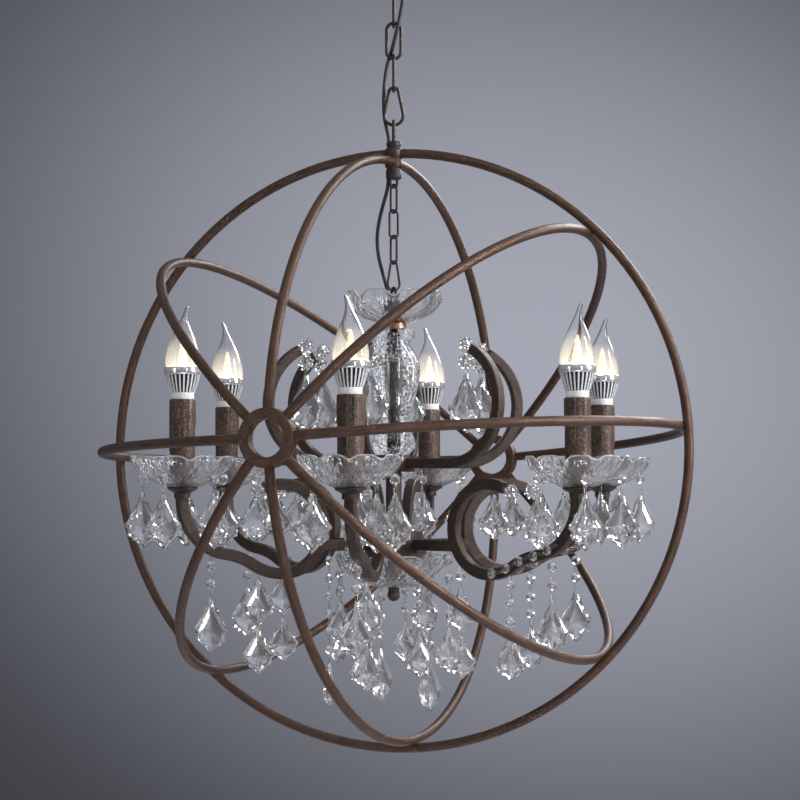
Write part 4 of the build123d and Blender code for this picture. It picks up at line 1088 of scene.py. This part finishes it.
def drop_mesh():
    """A leaf-shaped drop, one unit wide, long and thick: a stepped edge, large kite facets, a small table."""
    outline = list(DROP_HALF) + [(0.0, -1.0)] + [(-x, z) for x, z in reversed(DROP_HALF)]
    edge = len(outline)
    points = [(x, 0.0, z) for x, z in outline]
    faces = []

    def shrunk(x, z, scale, depth):
        return x * scale, depth, DROP_MIDDLE + (z - DROP_MIDDLE) * scale

    for side in (1, -1):
        step = []
        for k in range(edge):
            x, z = ((outline[k][i] + outline[(k + 1) % edge][i]) / 2 for i in (0, 1))
            step.append(len(points))
            points.append(shrunk(x, z, DROP_STEP[0], side * DROP_STEP[1]))
        rings = []
        for scale, depth in DROP_RINGS:
            rings.append([len(points) + k for k in range(len(DROP_CORNERS))])
            points += [shrunk(*outline[at], scale, side * depth) for at in DROP_CORNERS]
        corners = range(len(DROP_CORNERS))
        nearest = [min(corners, key=lambda c: abs(DROP_CORNERS[c] - k)) for k in range(edge)]
        for k in range(edge):
            after = (k + 1) % edge
            faces += [(k, after, step[k]), (step[k], after, step[after])]
            here, there = rings[0][nearest[k]], rings[0][nearest[after]]
            faces.append((step[k], step[after], here))
            if here != there:
                faces.append((step[after], there, here))
        for outer, inner in zip(rings, rings[1:]):
            for c in range(len(outer)):
                after = (c + 1) % len(outer)
                if c % 2:
                    faces += [(outer[c], outer[after], inner[after]), (outer[c], inner[after], inner[c])]
                else:
                    faces += [(outer[c], outer[after], inner[c]), (outer[after], inner[after], inner[c])]
        faces.append(tuple(rings[-1]))
    return mesh_of("drop", points, faces, False)


def rosette_mesh():
    """A flower of cut petals round a raised eye."""
    outline = []
    for k in range(ROSETTE_SIDES):
        turn = 2 * pi * k / ROSETTE_SIDES
        reach = 0.5 * (1 - PETAL_DEPTH + PETAL_DEPTH * abs(cos(PETAL_PAIRS * turn)) ** 0.6)
        outline.append((reach * sin(turn), reach * cos(turn)))
    return cut_stone("rosette", outline, 0.0, ROSETTE_RINGS)


# Wire rings between the stones, in millimetres
PIN_TALL = 8.6
PIN_WIDE = 2.4
PIN_WIRE = 0.65
PIN_STEPS = 12
PIN_SIDES = 4


def pin_mesh():
    """A bent wire ring that joins two stones."""
    points = []
    for k in range(PIN_STEPS):
        turn = 2 * pi * k / PIN_STEPS
        out = Vector((sin(turn), 0, cos(turn)))
        bend = (PIN_TALL - PIN_WIDE) / 2 * (1 if cos(turn) > 0.01 else -1)
        spot = Vector((PIN_WIDE / 2 * sin(turn), 0, bend + PIN_WIDE / 2 * cos(turn)))
        for j in range(PIN_SIDES):
            a = 2 * pi * (j + 0.5) / PIN_SIDES
            points.append(spot + (out * cos(a) + Vector((0, 1, 0)) * sin(a)) * PIN_WIRE / 2)
    return mesh_of("pin", points, wrapped_faces(PIN_SIDES, PIN_STEPS), True)


STONES = {"bead": bead_mesh(), "drop": drop_mesh(), "rosette": rosette_mesh()}
PIN = pin_mesh()
PIN_REACH = 3.5 * MM
WELD = 0.002 * MM
SMALLEST_STONE = 5.0 * MM
BEAD_THICKEST = 8.0 * MM
DROP_THICKEST = 11.5 * MM


def solids_of(node):
    """The corner points of each separate solid in a node. Solids that touch share edges of four faces."""
    mesh = nodes[node].data
    corners = np.array([vertex.co for vertex in mesh.vertices])
    spots, numbers = np.unique(np.round(corners / WELD).astype(int), axis=0, return_inverse=True)
    numbers = numbers.ravel()
    faces = [tuple(numbers[v] for v in face.vertices) for face in mesh.polygons]
    sides = {}
    for k, face in enumerate(faces):
        for a, b in zip(face, face[1:] + face[:1]):
            sides.setdefault((min(a, b), max(a, b)), []).append(k)
    beside = {k: [] for k in range(len(faces))}
    for shared in sides.values():
        if len(shared) == 2:
            beside[shared[0]].append(shared[1])
            beside[shared[1]].append(shared[0])
    solids = []
    left = set(beside)
    while left:
        stack = [left.pop()]
        found = set(stack)
        while stack:
            near = [k for k in beside[stack.pop()] if k in left]
            left.difference_update(near)
            found.update(near)
            stack.extend(near)
        points = spots[sorted({v for k in found for v in faces[k]})] * WELD
        if np.ptp(points, axis=0).max() > SMALLEST_STONE:
            solids.append(points)
    return solids


def extent(points, way):
    along = points @ np.array(way)
    return along.min(), along.max()


def stone_place(points):
    """How a stone lies: its kind, the place of the cut stone and the place of the pin at its top."""
    spread_of = points - points.mean(0)
    up = Vector(np.linalg.svd(spread_of, full_matrices=False)[2][0])
    if up.z < 0:
        up = -up
    first = up.orthogonal().normalized()
    second = up.cross(first)
    ways = [first * cos(radians(a)) + second * sin(radians(a)) for a in range(180)]
    thin = min(ways, key=lambda way: np.ptp(points @ np.array(way)))
    across = thin.cross(up)
    box_of = [extent(points, way) for way in (across, thin, up)]
    wide, thick, tall = (high - low for low, high in box_of)
    if thick < BEAD_THICKEST and tall < 2 * wide:
        kind = "bead"
    else:
        kind = "drop" if thick < DROP_THICKEST else "rosette"
    centre = sum((way * (low + high) / 2 for way, (low, high) in zip((across, thin, up), box_of)), Vector())
    turn = Matrix((across, thin, up)).transposed().to_4x4()
    top = centre + up * tall / 2
    if kind == "bead":
        size = (wide, thick, wide)
    elif kind == "drop":
        size = (wide, thick, tall - PIN_REACH)
        centre = top - up * PIN_REACH
    else:
        size = (wide, thick, tall)
    place = Matrix.Translation(centre) @ turn @ Matrix.Diagonal((*size, 1))
    return kind, place, Matrix.Translation(top) @ turn @ Matrix.Scale(MM, 4)


def hang_crystals(node, body):
    """Cut stones and their pins in place of a node's plain ones."""
    found = [stone_place(points) for points in solids_of(node)]
    for kind, mesh in STONES.items():
        places = [place for stone, place, _ in found if stone == kind]
        if places:
            stones = set_in_place(f"{node}_{kind}s", mesh, places, CRYSTAL)
            piece(f"{node}_{kind}s", stones, CRYSTAL, body, "crystal", node)
    pins = [pin for stone, _, pin in found if stone != "rosette"]
    piece(f"{node}_pins", set_in_place(f"{node}_pins", PIN, pins, PIN_METAL), PIN_METAL, body, "crystal")


for group in ("bobeche_drops", "scroll_crystals", "crystal_strands"):
    hang_crystals(group, "chandelier")
for k in LAMPS:
    hang_crystals(f"arm_drop_{k}", f"drop_{k}")


# Room and light
BACKDROP_AT = 6.0
BACKDROP_SIZE = (9.0, 8.0)
# Painted pool of light on the backdrop: its place, reach and tilt, and its lit and shaded tones.
BRIGHT_SPOT = (0.56, 0.43)
BRIGHT_REACH = (3.24, 2.53)
BRIGHT_TILT = 17.5
BRIGHT_TONE = (0.377, 0.388, 0.454)
SHADE_TONE = (0.0516, 0.0538, 0.0643)
FLOOR_Z = -2.1
FLOOR_SIZE = 14.0
FLOOR_TONES = ((0.5, 0.5, 0.53, 1), (0.56, 0.56, 0.59, 1))
SKY_TONE = (0.42, 0.42, 0.44)
GROUND_TONE = (0.07, 0.07, 0.08)


def plane(name, width, depth, place):
    mesh = bpy.data.meshes.new(name)
    corners = [(x * width / 2, y * depth / 2, 0) for x, y in ((-1, -1), (1, -1), (1, 1), (-1, 1))]
    mesh.from_pydata([place @ Vector(c) for c in corners], [], [(0, 1, 2, 3)])
    made = bpy.data.objects.new(name, mesh)
    bpy.context.scene.collection.objects.link(made)
    return made


def backdrop():
    """A grey wall that glows with a painted pool of light right of the middle, fading to painted shade at its
    edges.
    """
    place = Matrix.Translation((0, BACKDROP_AT, ORB.z)) @ Matrix.Rotation(pi / 2, 4, "X")
    made = plane("backdrop", *BACKDROP_SIZE, place)
    paint, tree, shader = material("backdrop")
    tree.nodes.remove(shader)
    away = tree.nodes.new("ShaderNodeMapping")
    tree.links.new(tree.nodes.new("ShaderNodeTexCoord").outputs["Object"], away.inputs["Vector"])
    away.vector_type = "TEXTURE"
    away.inputs["Location"].default_value = (BRIGHT_SPOT[0], BACKDROP_AT, ORB.z + BRIGHT_SPOT[1])
    away.inputs["Rotation"].default_value = (0, radians(BRIGHT_TILT), 0)
    away.inputs["Scale"].default_value = (BRIGHT_REACH[0], 1, BRIGHT_REACH[1])
    reach = tree.nodes.new("ShaderNodeVectorMath")
    reach.operation = "LENGTH"
    tree.links.new(away.outputs["Vector"], reach.inputs[0])
    share = tree.nodes.new("ShaderNodeMapRange")
    share.interpolation_type = "SMOOTHSTEP"
    tree.links.new(reach.outputs["Value"], share.inputs["Value"])
    wall = tree.nodes.new("ShaderNodeEmission")
    tone = mix(tree, share.outputs["Result"], (*BRIGHT_TONE, 1), (*SHADE_TONE, 1))
    tree.links.new(tone, wall.inputs["Color"])
    tree.links.new(wall.outputs[0], tree.nodes["Material Output"].inputs["Surface"])
    made.data.materials.append(paint)


def floor():
    made = plane("floor", FLOOR_SIZE, FLOOR_SIZE, Matrix.Translation((0, 0, FLOOR_Z)))
    paint, tree, shader = material("floor")
    where = tree.nodes.new("ShaderNodeTexCoord").outputs["Object"]
    cloud = noise(tree, where, 1.2, 2.0, 0.5)
    tree.links.new(mix(tree, cloud, *FLOOR_TONES), shader.inputs["Base Color"])
    shader.inputs["Roughness"].default_value = 0.7
    made.data.materials.append(paint)


def world():
    """A soft studio sky, bright overhead and dim below."""
    made = bpy.data.worlds.new("room")
    bpy.context.scene.world = made
    made.use_nodes = True
    tree = made.node_tree
    parts = tree.nodes.new("ShaderNodeSeparateXYZ")
    tree.links.new(tree.nodes.new("ShaderNodeTexCoord").outputs["Generated"], parts.inputs["Vector"])
    height = spread(tree, parts.outputs["Z"], -0.25, 0.9, 0.0, 1.0)
    light = tree.nodes["Background"]
    tree.links.new(mix(tree, height, (*GROUND_TONE, 1), (*SKY_TONE, 1)), light.inputs["Color"])


# Soft lights: place, width and height, power
SOFTBOXES = (
    ("key", (2.2, -0.7, 0.2), (0.6, 1.6), 90.0),
    ("fill", (-2.4, -1.8, 0.1), (1.0, 1.6), 3.0),
    ("rim", (1.5, 2.2, 0.7), (1.4, 0.8), 36.0),
    ("low", (0.2, -2.9, -1.6), (1.6, 0.4), 4.0),
    ("strip_left", (-1.7, -1.5, -0.3), (0.05, 1.5), 4.0),
    ("strip_right", (1.1, -2.3, -0.2), (0.05, 1.5), 6.0),
    ("strip_top", (-0.3, -1.6, 1.0), (1.5, 0.06), 5.0),
    ("strip_low", (0.0, -1.5, -1.9), (1.5, 0.06), 5.0),
)


def lights():
    for name, place, size, power in SOFTBOXES:
        data = bpy.data.lights.new(name, "AREA")
        data.shape = "RECTANGLE"
        data.size = size[0]
        data.size_y = size[1]
        data.energy = power
        made = bpy.data.objects.new(name, data)
        made.location = place
        aim = ORB - Vector(place)
        made.rotation_euler = aim.to_track_quat("-Z", "Y").to_euler()
        bpy.context.scene.collection.objects.link(made)


backdrop()
floor()
world()
lights()
bpy.context.scene.view_settings.view_transform = "Standard"
